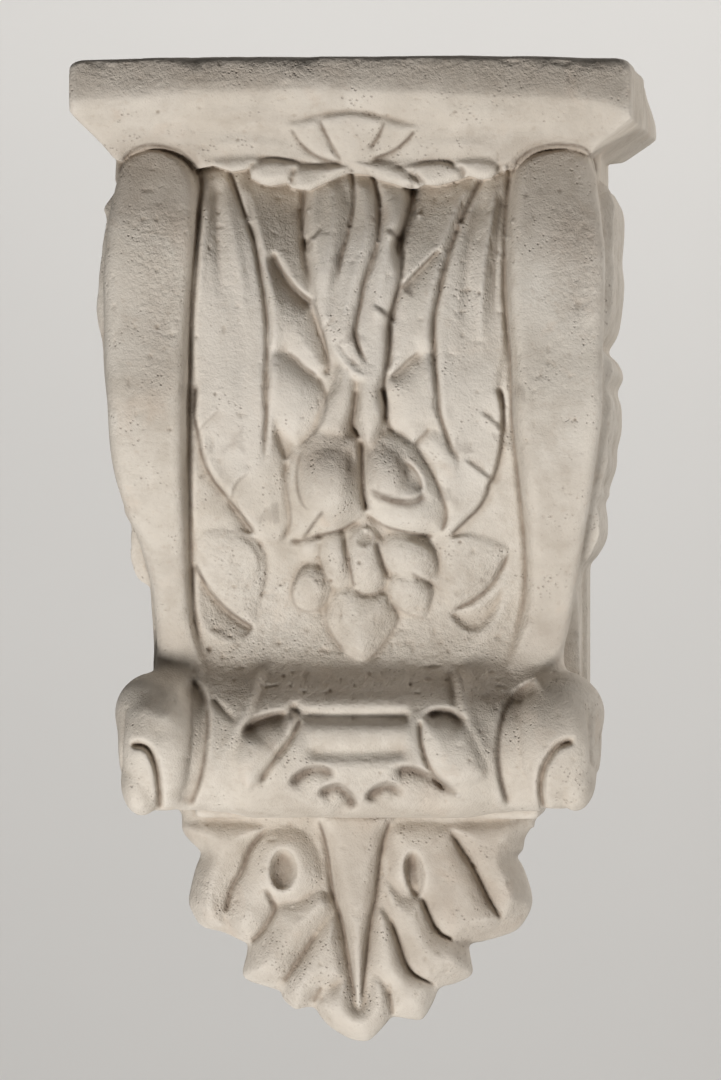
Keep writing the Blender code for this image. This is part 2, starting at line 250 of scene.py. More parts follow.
    def sink(self, points, depth, r, power=2.0, closed_curve=True, tilt=(0.0, 0.0)):
        """A hollow inside an outline, deepest beyond r from the edge."""
        win, sd = self.signed(points, r + 30.0, closed_curve)
        c = np.asarray(points, float).mean(0)
        gx = np.arange(win[1].start, win[1].stop)[None, :] - c[0]
        gy = np.arange(win[0].start, win[0].stop)[:, None] - c[1]
        t = np.clip(sd / r, 0.0, 1.0)
        prof = (1.0 - (1.0 - t) ** power) ** (1.0 / power)
        self.h[win] -= np.where(sd > 0, np.maximum(depth + tilt[0] * gx + tilt[1] * gy, 0.0) * prof, 0.0)

    def patch(self, points, value, soft):
        """Adds a soft-edged patch of value."""
        win, sd = self.signed(points, soft * 2.0)
        self.h[win] += value * smooth(0.5 + sd / (2.0 * soft))


# ------------------------------------------------------------------ broad profiles, mm
def s_curve(z):
    return 61.5 + 42.5 * smooth((z + 52.0) / 118.0) + 11.0 * smooth((z + 50.0) / 85.0) + 1.9 * smooth((z - 70.0) / 45.0)


def band_depth(z):
    return s_curve(z) - 9.6 * np.clip((z - 105.0) / 42.0, 0.0, 1.5) ** 2


def panel_depth(z):
    low = 3.4 * smooth((z + 8.0) / 46.0) * (1.0 - smooth((z - 40.0) / 54.0))
    return s_curve(z) - 5.0 * smooth((z + 38.0) / 22.0) - 2.6 * smooth((z + 50.0) / 85.0) - low - 12.0 * np.clip((z - 100.0) / 38.0, 0.0, 1.3) ** 2


def side_half(z):
    return 81.2 + 11.3 * smooth((z + 12.0) / 85.0) - 5.0 * smooth((z - 95.0) / 35.0)


FILLET_FOOT = ((60, 101), (79, 100), (120, 97), (182, 92), (290, 90), (340, 90), (427, 94), (557, 96), (606, 102), (624, 110), (640, 116))
MOULD_FOOT = ((60, 165), (112, 160), (150, 165), (193, 170), (213, 166), (232, 172), (249, 169), (251, 178), (261, 184), (271, 186),
              (287, 183), (292, 188), (309, 191), (316, 187), (335, 178), (347, 173), (367, 174), (379, 180), (397, 185),
              (409, 189), (417, 189), (424, 185), (438, 186), (459, 180), (469, 176), (481, 180), (491, 178), (499, 171), (515, 168),
              (600, 165), (660, 160))
TOP_EDGE = ((-108, -2.6), (-101, -1.9), (-96, -0.9), (-84, -0.6), (-60, 0.1), (-20, 0.0), (10, -0.2), (40, 0.0), (70, -0.3), (84, -1.0), (95, -1.2), (100, -1.9), (108, -2.4))


def mould_inset(drop):
    """Set-back of the hollow moulding below the fillet, for a drop in mm."""
    t = np.clip(drop / 30.5, 0.0, 1.0)
    return 18.5 * np.sin(0.5 * np.pi * t) ** 1.15


# ------------------------------------------------------------------ carving of the sunk panel
def carve_panel():
    g = Relief(IMG_W, IMG_H, -2.6)
    G = -2.6
    # sheets of the two large leaves
    g.lobe([(196, 172), (236, 172), (250, 215), (262, 262), (272, 345), (276, 440), (283, 470), (287, 507), (288, 524), (279, 542), (262, 541),
            (253, 530), (242, 514), (231, 496), (213, 478), (203.6, 458), (198, 430), (195.4, 416), (195, 385), (192, 340), (193, 280), (199, 220)],
           0.0, 7, G)
    g.lobe([(508, 172), (484, 174), (464, 205), (450, 240), (436, 290), (432, 350), (434, 410), (440, 440), (436, 470), (443, 498), (446, 516),
            (440, 533), (450, 534), (465, 520), (478, 507), (486, 494), (494, 474), (499.5, 453), (502, 434), (502, 405), (500, 380), (505, 340), (504, 280), (506, 220)],
           0.0, 7, G)
    for pts, x0, x1, amount in (([(192, 200), (246, 200), (262, 262), (272, 345), (276, 440), (262, 520), (236, 500), (198, 440), (192, 340)], 192.0, 268.0, 2.2),
                                ([(508, 200), (470, 205), (446, 250), (434, 350), (436, 450), (446, 516), (478, 500), (503, 430), (505, 330)], 506.0, 440.0, 1.2)):
        win, sd = g.signed(pts, 30)
        gx = np.arange(win[1].start, win[1].stop)[None, :]
        across = np.clip((gx - x0) / (x1 - x0), 0.0, 1.15)
        g.h[win] += amount * (across - 0.55) * smooth(sd / 9.0)
    # hollows at the top, each side of the middle leaf
    win, sd = g.signed([(238, 165), (316, 165), (318, 300), (306, 300), (290, 283), (277, 256), (262, 258), (250, 210)], 40)
    gx = np.arange(win[1].start, win[1].stop)[None, :]
    gy = np.arange(win[0].start, win[0].stop)[:, None]
    scoop = -0.6 - 6.4 * smooth((gx - 246 - 0.18 * (gy - 180)) / 56.0) * smooth((302.0 - gy) / 100.0)
    g.h[win] = np.where(sd > 0, scoop * smooth(sd / 5.0) + g.h[win] * (1 - smooth(sd / 5.0)), g.h[win])
    win, sd = g.signed([(398, 165), (482, 165), (464, 205), (447, 245), (436, 256), (420, 274), (400, 290), (396, 246)], 40)
    gx = np.arange(win[1].start, win[1].stop)[None, :]
    gy = np.arange(win[0].start, win[0].stop)[:, None]
    scoop = -0.4 - 6.0 * smooth((476 - gx - 0.35 * (gy - 180)) / 58.0) * smooth((285.0 - gy) / 95.0)
    g.h[win] = np.where(sd > 0, scoop * smooth(sd / 5.0) + g.h[win] * (1 - smooth(sd / 5.0)), g.h[win])

    # left leaf: side lobes
    g.lobe([(252, 262), (272, 252), (280, 268), (292, 286), (304, 299), (312, 308), (321, 334), (326, 353), (328, 368), (316, 373), (300, 362), (284, 352), (262, 350)],
           1.6, 30, G - 0.8, power=2.0, root=0.85)
    g.lobe([(255, 356), (286, 350), (300, 361), (312, 373), (319, 382), (323, 395), (322, 413), (316, 425), (307, 436), (295, 444), (283, 437), (270, 425), (256, 400)],
           1.3, 30, G - 0.8, power=2.0, root=0.85)
    g.lobe([(250, 430), (270, 432), (280, 446), (285, 458), (284, 482), (287, 507), (288.5, 524), (279, 543), (262, 533), (252, 500)],
           1.0, 22, G, power=2.0, root=0.85)
    # right leaf: side lobes
    g.lobe([(456, 250), (437, 251), (420, 268), (402, 285), (392, 316), (388, 352), (389, 374), (402, 367), (414, 356), (440, 350), (452, 300)],
           1.2, 26, G - 0.4, power=2.0, root=0.85)
    g.lobe([(450, 352), (414, 357), (402, 368), (388, 378), (384, 389), (388, 405), (389, 416), (393, 427), (403, 436), (414, 443), (421, 438), (428, 431), (446, 430)],
           1.4, 28, G - 0.8, power=2.0, root=0.85)
    g.lobe([(432, 428), (416, 443), (420, 450), (426, 459), (436, 476), (444, 498), (446, 516), (440, 533), (452, 531), (470, 500), (466, 450)],
           0.8, 20, G, power=2.0, root=0.85)
    # long midribs
    g.groove([(229, 170), (237, 191), (245, 214), (253, 236), (259, 264), (264, 293), (267, 322), (267, 357), (266, 391), (266.5, 416), (264.5, 444), (263.6, 475)],
             3.4, 2.3, (0.02, 0.16))
    g.groove([(241, 180), (249, 205), (259, 232), (266, 262), (272, 293), (275, 322), (275, 357), (274, 391), (274, 416), (272, 444)], 6, -1.5, (0.05, 0.3))
    g.groove([(483, 176), (469, 203), (457, 231), (447, 262), (439, 296), (434.5, 322), (435, 357), (438, 391), (439.5, 411), (445, 431), (452, 449), (458, 460), (457, 482)],
             3.2, 2.2, (0.02, 0.16))
    g.groove([(472, 184), (459, 204), (447, 231), (437, 262), (430, 296), (426, 322), (426, 357), (429, 391), (432, 415)], 6.5, -1.6, (0.05, 0.3))
    g.groove([(456, 390), (452, 420), (450, 450), (456, 470)], 7, 0.5, (0.3, 0.3))
    # flutes in the sheets
    g.groove([(206, 184), (204, 225), (200.5, 270), (199, 330)], 4.5, -2.1, (0.2, 0.5))
    g.groove([(217, 178), (217, 220), (219, 260), (222, 310)], 6.0, 1.7, (0.1, 0.5))
    g.groove([(226, 190), (234, 235), (241, 280), (246, 340)], 5.5, -1.5, (0.2, 0.5))
    g.groove([(497, 180), (490, 227), (484, 262), (481.5, 305), (483, 372)], 4.5, -2.0, (0.15, 0.4))
    g.groove([(487, 186), (475, 225), (468, 260), (465, 310), (466, 360)], 6.5, 1.4, (0.15, 0.5))
    g.groove([(503, 186), (498, 230), (494, 280), (495, 350)], 4.8, 1.4, (0.1, 0.5))
    g.groove([(238, 300), (243, 350), (241, 410), (236, 440)], 10, 0.6, (0.3, 0.4))

    # lobe A: bright lip over a dark fold
    g.crease([(273, 250), (281, 267), (292, 283), (303, 294), (313, 301)], -2.4, 12, 1.3, 8, (0.14, 0.05))
    g.crease([(277, 262), (285, 278), (296, 292), (309, 305), (318, 326), (325, 350), (327, 366)], -0.6, 10, -0.9, 4, (0.1, 0.12))
    g.groove([(313, 300), (320, 322), (326, 345), (328.5, 368), (322, 377)], 3.0, 1.2, (0.05, 0.1))
    g.crease([(285, 350), (296, 357), (305, 366), (315, 373)], -1.3, 9, 1.2, 5, (0.2, 0.0))
    g.groove([(316, 374), (322, 384), (326, 397), (325, 414), (319, 427), (309, 439), (297, 447)], 2.8, 1.1, (0.1, 0.1))
    g.sink([(276, 430), (284, 434), (294, 442), (291, 455), (284, 460), (279, 446)], 2.2, 5)
    g.groove([(286, 458), (286, 482), (290, 507), (290, 524), (281, 543)], 2.6, 1.1, (0.1, 0.1))
    # right leaf: lips and folds
    g.crease([(440, 247), (428, 259), (414, 273), (401, 287)], 1.1, 8, -1.6, 10, (0.14, 0.02))
    g.crease([(420, 350), (410, 358), (400, 367), (389, 377)], 0.9, 7, -1.3, 9, (0.15, 0.05))
    g.crease([(429, 428), (421, 436), (414, 444)], 1.0, 4, -1.5, 5, (0.2, 0.0))
    g.groove([(399, 287), (389.5, 317), (386, 357), (384, 386), (386, 405), (387, 418), (392, 431), (403, 439), (415, 446)], 2.6, 1.5, (0.05, 0.05))
    g.groove([(415, 446), (422, 458), (434, 478), (443, 500), (446, 518), (440, 535)], 2.6, 1.7, (0.05, 0.1))
    # lower edges of the two sheets: crisp leaf edge over a scooped ground
    g.crease([(198, 380), (196, 398), (195.4, 416), (198, 430), (203.6, 458), (213, 478), (228, 497), (242, 514.5), (256, 533)],
             -2.3, 9, 1.0, 9, (0.08, 0.06))
    g.groove([(196, 384), (194.5, 398), (195, 414)], 2.6, 1.6, (0.2, 0.3))
    g.crease([(198, 430), (207, 420), (223, 405)], -0.7, 6, 0.8, 4, (0.0, 0.35))
    g.crease([(231, 496), (233, 488), (240, 478), (252, 471)], -0.6, 8, 1.1, 6, (0.0, 0.3))
    g.crease([(228, 497), (238, 509), (248, 522), (256, 533)], -1.6, 5, 0.7, 5, (0.1, 0.1))
    g.crease([(496, 384), (501, 402), (503, 418), (502, 434), (499.5, 453), (494, 474), (488, 484), (486, 494), (478, 507), (465, 520), (448, 536)],
             1.0, 9, -1.9, 9, (0.08, 0.06))
    g.crease([(501, 429), (490, 419), (478, 410)], -0.9, 7, 0.9, 5, (0.0, 0.35))
    g.crease([(489.5, 478), (476, 468), (461, 457)], -0.9, 7, 1.0, 5, (0.0, 0.35))
    g.groove([(497, 384), (502, 398), (503.5, 412), (502, 428)], 2.4, 1.6, (0.2, 0.2))

    # lower leaves on the ground
    g.lobe([(206, 532), (225, 531), (240, 532), (253, 537.5), (261, 549), (264.5, 565), (262.5, 589), (256, 607), (251, 624), (233, 613), (219, 600), (207, 584), (196, 566), (196, 545)],
           0.3, 22, G + 0.3)
    g.crease([(222, 530), (238, 532), (254, 538)], -0.9, 7, 0.9, 3.5, (0.3, 0.0))
    g.crease([(254, 538), (262.5, 551), (265.5, 567), (263, 589), (255, 607)], 0.0, 4, -0.9, 4, (0.05, 0.2))
    g.crease([(234, 531), (250, 545), (258, 560), (257, 580)], 0.6, 6, -0.6, 8, (0.3, 0.3))
    g.crease([(195, 562), (206, 583), (218, 599), (233, 613), (254, 627)], -4.2, 10, 0.6, 8, (0.06, 0.03))
    g.groove([(192.5, 590), (198, 612), (208, 630), (228, 641), (250, 640)], 5.5, -1.3, (0.2, 0.4))
    g.lobe([(446, 541), (458, 538), (474, 536), (498, 544), (508, 552), (501, 566), (490, 583), (476, 595), (461, 604), (451, 609), (446, 594), (444, 571)],
           0.2, 20, G + 0.3)
    g.groove([(447, 541), (458, 538), (473, 536)], 2.4, -0.8, (0.2, 0.3))
    g.groove([(510, 549), (503, 566), (492, 584), (478, 597), (463, 606), (451, 611)], 2.6, 1.7, (0.15, 0.1))
    g.groove([(512, 566), (501, 587), (487, 603), (470, 611), (456, 613)], 5.0, -0.9, (0.3, 0.2))
    g.sink([(450, 613), (463, 611), (480, 608), (494, 596), (504, 588), (500, 603), (490, 620), (478, 631), (463, 628)], 2.6, 9)
    g.groove([(508, 590), (504, 607), (494, 625), (478, 637), (462, 634)], 5.0, -1.2, (0.3, 0.4))
    return g


def carve_middle(g):
    G = -2.6
    # ---- middle leaf
    g.lobe([(308, 166), (404, 166), (408, 185), (410, 205), (404, 226), (396, 243), (399, 262), (401, 280), (395, 303), (390, 322), (389, 350), (386, 372), (379, 387),
            (366, 386), (352, 380), (340, 367), (330, 352), (322, 330), (314, 308), (311, 287), (310, 262), (307, 240), (306, 215), (308, 188)],
           4.4, 9, G - 2.0, tilt=(0.0, 0.004))
    g.groove([(351, 168), (354, 190), (353, 211), (348, 234.5), (341.5, 258), (337, 285)], 2.8, 2.1, (0.02, 0.25))
    g.groove([(372, 174), (378, 196), (380, 214), (378, 242.5), (372, 262), (365, 281), (361, 301.5), (357, 322), (356, 335), (361, 352.5), (371, 368)], 2.8, 2.2, (0.02, 0.12))
    g.groove([(362, 172), (366, 200), (366, 225), (360, 255), (352, 285), (345, 320), (346, 345), (356, 366)], 6.0, -2.2, (0.08, 0.2))
    g.groove([(331, 176), (333, 210), (330, 240), (326, 275), (329, 310)], 7.5, -1.9, (0.12, 0.3))
    g.groove([(392, 184), (393, 215), (385, 250), (380, 290), (375, 330), (378, 360)], 6.5, -1.9, (0.12, 0.3))
    g.groove([(352, 176), (360, 178), (371, 184)], 7, 1.3, (0.3, 0.3))
    g.groove([(345, 182), (349, 212), (342, 244), (334, 285), (334, 320)], 6.0, 0.8, (0.1, 0.3))
    g.groove([(377, 184), (383, 214), (380, 244), (369, 282), (362, 330)], 5.5, 0.8, (0.1, 0.3))
    # side notches of the middle leaf
    g.crease([(309, 243), (316, 236), (325, 226)], 1.2, 5, -1.0, 5, (0.0, 0.35))
    g.sink([(306, 236), (313, 241), (308, 252), (302, 244)], 3.5, 4)
    g.crease([(323, 328), (329, 321), (335, 313)], -1.1, 4, 0.9, 4, (0.0, 0.35))
    g.crease([(398, 240), (392, 234), (385, 228)], -1.1, 5, 1.3, 5, (0.0, 0.35))
    g.crease([(391.5, 320), (382, 312), (371, 303)], -1.2, 6, 1.2, 5, (0.0, 0.35))
    g.sink([(396, 236), (404, 244), (399, 256), (394, 246)], 3.0, 4)
    g.groove([(327, 344), (341, 362), (354, 375), (368, 382)], 5.0, -1.1, (0.2, 0.2))
    g.groove([(333, 338), (343, 352), (355, 364), (366, 370)], 5.5, 0.8, (0.2, 0.3))
    g.groove([(404, 246), (402, 276), (396, 300), (391, 324), (390, 350), (387, 376)], 3.0, 1.4, (0.05, 0.1))
    # dark gaps beside it at the top
    g.groove([(305, 186), (303, 212), (303, 240), (306, 262), (310, 290)], 4.5, 1.6, (0.05, 0.3))
    g.groove([(410, 172), (412, 190), (409, 212), (403, 234), (400, 252)], 5.5, 2.2, (0.02, 0.2))
    g.sink([(403, 176), (416, 176), (420, 186), (412, 198), (406, 192)], 2.0, 4)

    # ---- stalks over the fruits
    g.lobe([(339, 366), (356, 368), (357, 392), (354, 409), (348, 427), (343, 437), (323, 435), (317, 427), (326, 402), (334, 384)], 3.6, 12, G, power=2.0, root=0.8)
    g.lobe([(360, 366), (382, 366), (382, 394), (385, 412), (381, 430), (373, 447), (366, 448), (361, 440), (358, 426), (356, 408)], 4.8, 12, G, power=2.0, root=0.8)
    g.groove([(357, 388), (355, 408), (353, 424), (360, 440)], 3.2, 2.8, (0.1, 0.1))
    g.groove([(381, 386), (385, 404), (384, 424)], 3.2, 2.6, (0.1, 0.2))

    # ---- fruits
    g.lobe([(318, 426), (345, 431), (360, 440), (363, 472), (364, 490), (366, 510), (356, 522), (338, 532), (322, 537), (303, 538), (293, 536), (289, 526), (287, 506),
            (285, 491), (287, 474), (294, 455), (305, 440)], 2.6, 20, G - 0.6, power=2.0, root=0.85)
    g.lobe([(365, 444), (386, 431), (404, 436), (416, 444), (426, 459), (438, 483), (445, 501), (445, 518), (440, 532), (424, 532), (396, 527), (376, 519), (365, 510), (364, 488)],
           2.6, 20, G - 0.6, power=2.0, root=0.85)
    g.ball(327, 494, 39, 66, 11.8, -6.4, turn=5, power=2.2, k=1.4, root=0.95, below=0.66)
    g.ball(389, 487, 31, 57, 10.6, -5.8, turn=-10, power=2.2, k=1.4, root=0.95, below=0.54)
    g.ball(405, 504, 42, 34, 7.4, -4.0, turn=24, k=1.4, root=0.85)
    g.groove([(362, 440), (363, 470), (364, 492), (367, 512)], 3.4, 4.2, (0.05, 0.1))
    g.groove([(346, 446), (351, 458), (349, 474)], 2.2, 0.7, (0.3, 0.3))
    g.groove([(306, 444), (298, 462), (297, 485), (303, 505), (318, 514)], 3.2, 1.2, (0.2, 0.3))
    g.crease([(324, 509), (315, 520), (303, 537)], 0.6, 5, -1.9, 8, (0.15, 0.0))
    g.groove([(288, 540), (300, 541), (318, 536), (340, 530), (360, 520)], 3.5, 1.6, (0.1, 0.1))
    # J-shaped fold on the right fruit
    g.crease([(366, 486), (384, 495), (403, 500), (417, 498), (424, 489)], -3.6, 13, 0.8, 7, (0.2, 0.15), 1.8, 5.0)
    g.crease([(423, 492), (421, 479), (413, 467), (401, 458)], 1.1, 6, -1.4, 5, (0.1, 0.3))
    g.groove([(372, 512), (395, 521), (420, 524), (438, 516)], 6, -0.8, (0.2, 0.2))
    g.groove([(366, 514), (382, 525), (405, 532), (436, 537)], 3.0, 1.5, (0.1, 0.1))

    # ---- flower
    g.ball(366, 568, 24, 44, 7.2, -4.2, turn=-4, power=2.3, below=0.75)
    g.ball(337, 562, 17, 34, 5.2, -4.0, turn=-8, power=2.3)
    g.ball(313, 550, 15, 16, 1.0, -3.0, turn=-20)
    g.ball(313, 587, 22, 25, 4.8, -3.8, turn=20, power=2.2)
    g.ball(407, 559, 33, 28, 6.4, -4.2, turn=32, power=2.2, below=0.8)
    g.ball(409, 592, 24, 26, 5.2, -4.0, turn=-20, power=2.2)
    g.lobe([(334, 588), (352, 583), (368, 588), (388, 590), (397, 605), (397, 617), (390, 630), (378, 646), (367, 658), (360, 661), (346, 653), (337, 639), (329, 623), (328, 606)],
           6.6, 32, G - 1.0, tilt=(-0.02, 0.0), power=2.0, root=0.8)
    for line, out, inn in (([(331, 590), (327, 605), (328, 623), (337, 640), (349, 655)], -1.2, 0.5),
                           ([(323, 541), (320, 556), (325, 573), (333, 586)], -1.1, 0.5)):
        g.crease(line, out, 5, inn, 6, (0.15, 0.15))
    for line, out, inn in (([(322, 561), (307, 566), (298, 577), (293, 593), (299, 608), (316, 610), (329, 600)], -1.0, 0.6),
                           ([(390, 600), (397, 616), (391, 631), (380, 647), (366, 661)], -1.4, 0.4),
                           ([(434, 583), (429, 602), (423, 616), (404, 611), (389, 597)], -1.0, 0.5),
                           ([(404, 538), (427, 546), (436, 560), (436, 579)], -1.0, 0.5)):
        g.crease(line, *((out, 5, inn, 6) if line[0][0] < 330 else (inn, 6, out, 5)), (0.15, 0.15))
    g.groove([(344, 536), (348, 558), (354, 588)], 2.4, 1.6, (0.1, 0.05))
    g.groove([(376, 541), (380, 554), (384, 567), (389, 577)], 2.4, 1.7, (0.1, 0.1))
    g.sink([(358, 536), (363, 529), (371, 532), (372, 541), (364, 546), (357, 543)], 1.8, 5)
    g.groove([(303, 541), (312, 539), (323, 532)], 2.2, 1.0, (0.1, 0.2))
    g.groove([(410, 568), (421, 573), (435, 580)], 2.6, -1.0, (0.2, 0.0))
    g.groove([(409, 572), (420, 578), (433, 585)], 2.2, 1.0, (0.2, 0.0))
    g.groove([(353, 589), (367, 595), (386, 590)], 2.4, 1.0, (0.1, 0.1))
    g.groove([(301, 574), (311, 580), (318, 590), (314, 602)], 3.4, -0.7, (0.2, 0.2))
    g.groove([(350, 560), (362, 568), (374, 560)], 6, -0.5, (0.3, 0.3))
    g.groove([(380, 620), (368, 640), (360, 655)], 8, -0.7, (0.3, 0.1))
    return g


BAND_LEFT_IN = [(140, 140), (152, 147), (163, 149), (175, 152.5), (187, 160), (194, 172), (196.5, 188), (194, 228), (191, 270), (188, 305), (186, 357), (185, 408), (185, 476), (187, 560), (189, 600), (193, 628), (199, 650), (206, 668)]
BAND_RIGHT_IN = [(575, 140), (562, 147), (548, 149), (533, 152.5), (521, 160), (514.5, 172), (511, 202), (509, 240), (509, 288), (511, 322), (515, 365), (516, 420), (521, 466), (526, 514), (529, 552), (529, 590), (524, 619), (516, 645), (508, 666)]
BAND_LEFT_OUT = [(150, 144), (137, 149), (126, 158), (119, 174), (113, 200), (107.5, 229), (104.5, 265), (104.5, 327), (107, 400), (112, 460), (124, 505), (139, 540), (152, 590), (157, 640), (163, 680)]
BAND_RIGHT_OUT = [(566, 144), (582, 149), (592, 158), (595.5, 172), (597, 190), (602, 225), (605, 264), (603, 350), (602, 408), (597, 450), (590, 500), (580, 560), (568, 629), (553, 680)]


def band_masks():
    """How much of the band's height each pixel has: 0 in the panel, 1 on the crown."""
    m = Relief(IMG_W, IMG_H, 0.0)
    left = curve(BAND_LEFT_IN, 4.0)
    right = curve(BAND_RIGHT_IN, 4.0)
    for line, sign in ((left, 1.0), (right, -1.0)):
        xs = np.interp(np.arange(IMG_H), line[:, 1], line[:, 0])
        d = (xs[:, None] - np.arange(IMG_W)[None, :]) * sign       # positive towards the outside
        t = np.clip((d + 2.0) / 17.0, 0.0, 1.0)
        m.h = np.maximum(m.h, (1.0 - (1.0 - t) ** 2.0) ** (1.0 / 2.0)).astype(np.float32)
    return m


def carve_band(g):
    """Groove beside each band and the soft hollows on their faces."""
    g.groove([(x + 5, y) for x, y in BAND_LEFT_IN[5:]], 3.2, 1.5, (0.02, 0.15))
    g.groove([(x - 4.5, y) for x, y in BAND_RIGHT_IN[5:]], 3.0, 1.5, (0.02, 0.15))
    g.groove([(150, 190), (151, 260), (150, 340), (152, 420)], 16, 0.5, (0.3, 0.4))
    g.groove([(166, 560), (172, 610), (182, 650)], 9, -0.5, (0.4, 0.2))
    return g


# ------------------------------------------------------------------ carving of abacus, roll and hanging leaf
def carve_moulding():
    g = Relief(IMG_W, IMG_H, 0.0)
    # leaves lying along the moulding, left and right of the shell
    g.lobe([(212, 161), (230, 158), (254, 157), (262, 161), (252, 170), (247, 176), (230, 178), (214, 172)], 2.2, 9, -0.6)
    g.lobe([(249, 167), (259, 161), (281, 159), (300, 164), (293, 170), (292, 177), (287, 182), (271, 185), (260, 183), (250, 176)], 4.0, 10, -0.6)
    g.lobe([(291, 176), (294, 168), (320, 165), (349, 167), (336, 176), (318, 187), (309, 191), (296, 189)], 3.2, 9, -0.6)
    g.lobe([(344, 161), (372, 161), (396, 164), (412, 175), (419, 186), (408, 188), (396, 185), (379, 179), (366, 172)], 3.6, 10, -0.6)
    g.lobe([(398, 164), (428, 161), (447, 162), (462, 170), (459, 179), (438, 185), (425, 185), (416, 178)], 3.0, 9, -0.6)
    g.lobe([(455, 162), (478, 159), (494, 163), (498, 172), (491, 179), (481, 180), (468, 175), (458, 168)], 3.4, 9, -0.6)
    g.groove([(236, 126), (258, 122), (282, 123)], 3.0, -0.7, (0.3, 0.3))
    g.groove([(252, 160), (268, 157), (290, 161), (312, 164), (335, 166)], 2.2, 1.0, (0.2, 0.2))
    g.groove([(386, 168), (405, 166), (428, 161), (448, 161), (456, 168)], 2.2, 1.1, (0.2, 0.1))
    g.groove([(412, 170), (420, 180), (426, 184)], 2.2, 1.3, (0.2, 0.1))
    g.groove([(247, 177), (250, 168), (256, 162)], 2.2, 1.2, (0.1, 0.3))
    g.groove([(292, 186), (292, 176), (298, 168)], 2.2, 1.3, (0.1, 0.3))
    g.groove([(462, 180), (464, 171), (458, 164)], 2.2, 1.2, (0.1, 0.3))
    g.sink([(404, 186), (416, 185), (417, 194), (406, 194)], 2.5, 4)
    g.sink([(498, 164), (514, 164), (515, 174), (500, 175)], 2.5, 4)
    # the moulding gives way to the rounded top of each band
    g.patch([(119, 182), (124, 162), (136, 152), (152, 148.5), (168, 150.5), (181, 157), (192, 169), (196, 184)], -5.5, 2.5)
    g.patch([(596, 182), (591, 161), (580, 151), (562, 148), (545, 149.5), (531, 155), (519, 167), (514, 184)], -5.5, 2.5)
    # hollow around it
    g.groove([(118, 176), (125, 158), (137, 148), (152, 145), (168, 147.5), (182, 153), (194, 165), (199, 178)], 5.2, 2.6, (0.05, 0.05))
    g.groove([(597, 174), (592, 157), (582, 147.5), (562, 144.5), (545, 146), (530, 151), (517, 162), (512, 176)], 5.2, 2.4, (0.05, 0.05))
    # shell: petals fanning out from its root
    g.lobe([(288, 125), (316, 118), (351, 113), (386, 120), (418, 128), (408, 141), (394, 152), (372, 161), (352, 164), (332, 162), (316, 157), (301, 145)], 2.4, 9, -0.3)
    for line, w, d in (([(289, 127), (301, 144), (315, 155.5), (331, 161.5), (345, 164)], 2.4, 1.6),
                       ([(318, 118), (326, 135), (334, 150), (342, 162)], 2.4, 1.7),
                       ([(385, 121), (378, 137), (369, 149)], 2.4, 1.6),
                       ([(416, 129), (407, 140), (393, 151), (371, 160)], 2.4, 1.7)):
        g.groove(line, w, d, (0.1, 0.12))
    g.lobe([(322, 119), (351, 114), (382, 121), (377, 136), (366, 150), (352, 161), (342, 158), (333, 146), (326, 134)], 3.8, 14, 0.8)
    g.lobe([(296, 128), (312, 122), (320, 134), (330, 150), (334, 158), (322, 155), (306, 142)], 2.6, 8, 0.4)
    g.lobe([(388, 124), (408, 129), (402, 138), (389, 149), (374, 156), (380, 142)], 2.8, 8, 0.4)
    g.groove([(290, 122), (316, 115.5), (351, 110.5), (386, 117), (420, 126)], 3.0, 0.6, (0.2, 0.2))
    g.groove([(196, 122), (240, 112), (284, 116)], 8, -0.8, (0.3, 0.3))
    g.groove([(430, 118), (470, 111), (530, 115)], 8, -0.8, (0.3, 0.3))
    g.groove([(140, 118), (190, 128), (250, 134), (284, 138)], 10, 0.7, (0.3, 0.3))
    g.groove([(424, 140), (470, 132), (530, 130), (580, 122)], 10, 0.7, (0.3, 0.3))
    g.groove([(206, 150), (236, 142), (276, 146), (308, 156)], 7, -1.0, (0.2, 0.3))
    g.groove([(400, 156), (432, 146), (470, 146), (500, 152)], 7, -1.0, (0.3, 0.2))
    g.groove([(262, 118), (284, 124), (292, 136), (306, 150)], 5, -0.7, (0.3, 0.3))
    g.groove([(440, 122), (425, 130), (412, 144), (398, 154)], 5, -0.7, (0.3, 0.3))
    return g


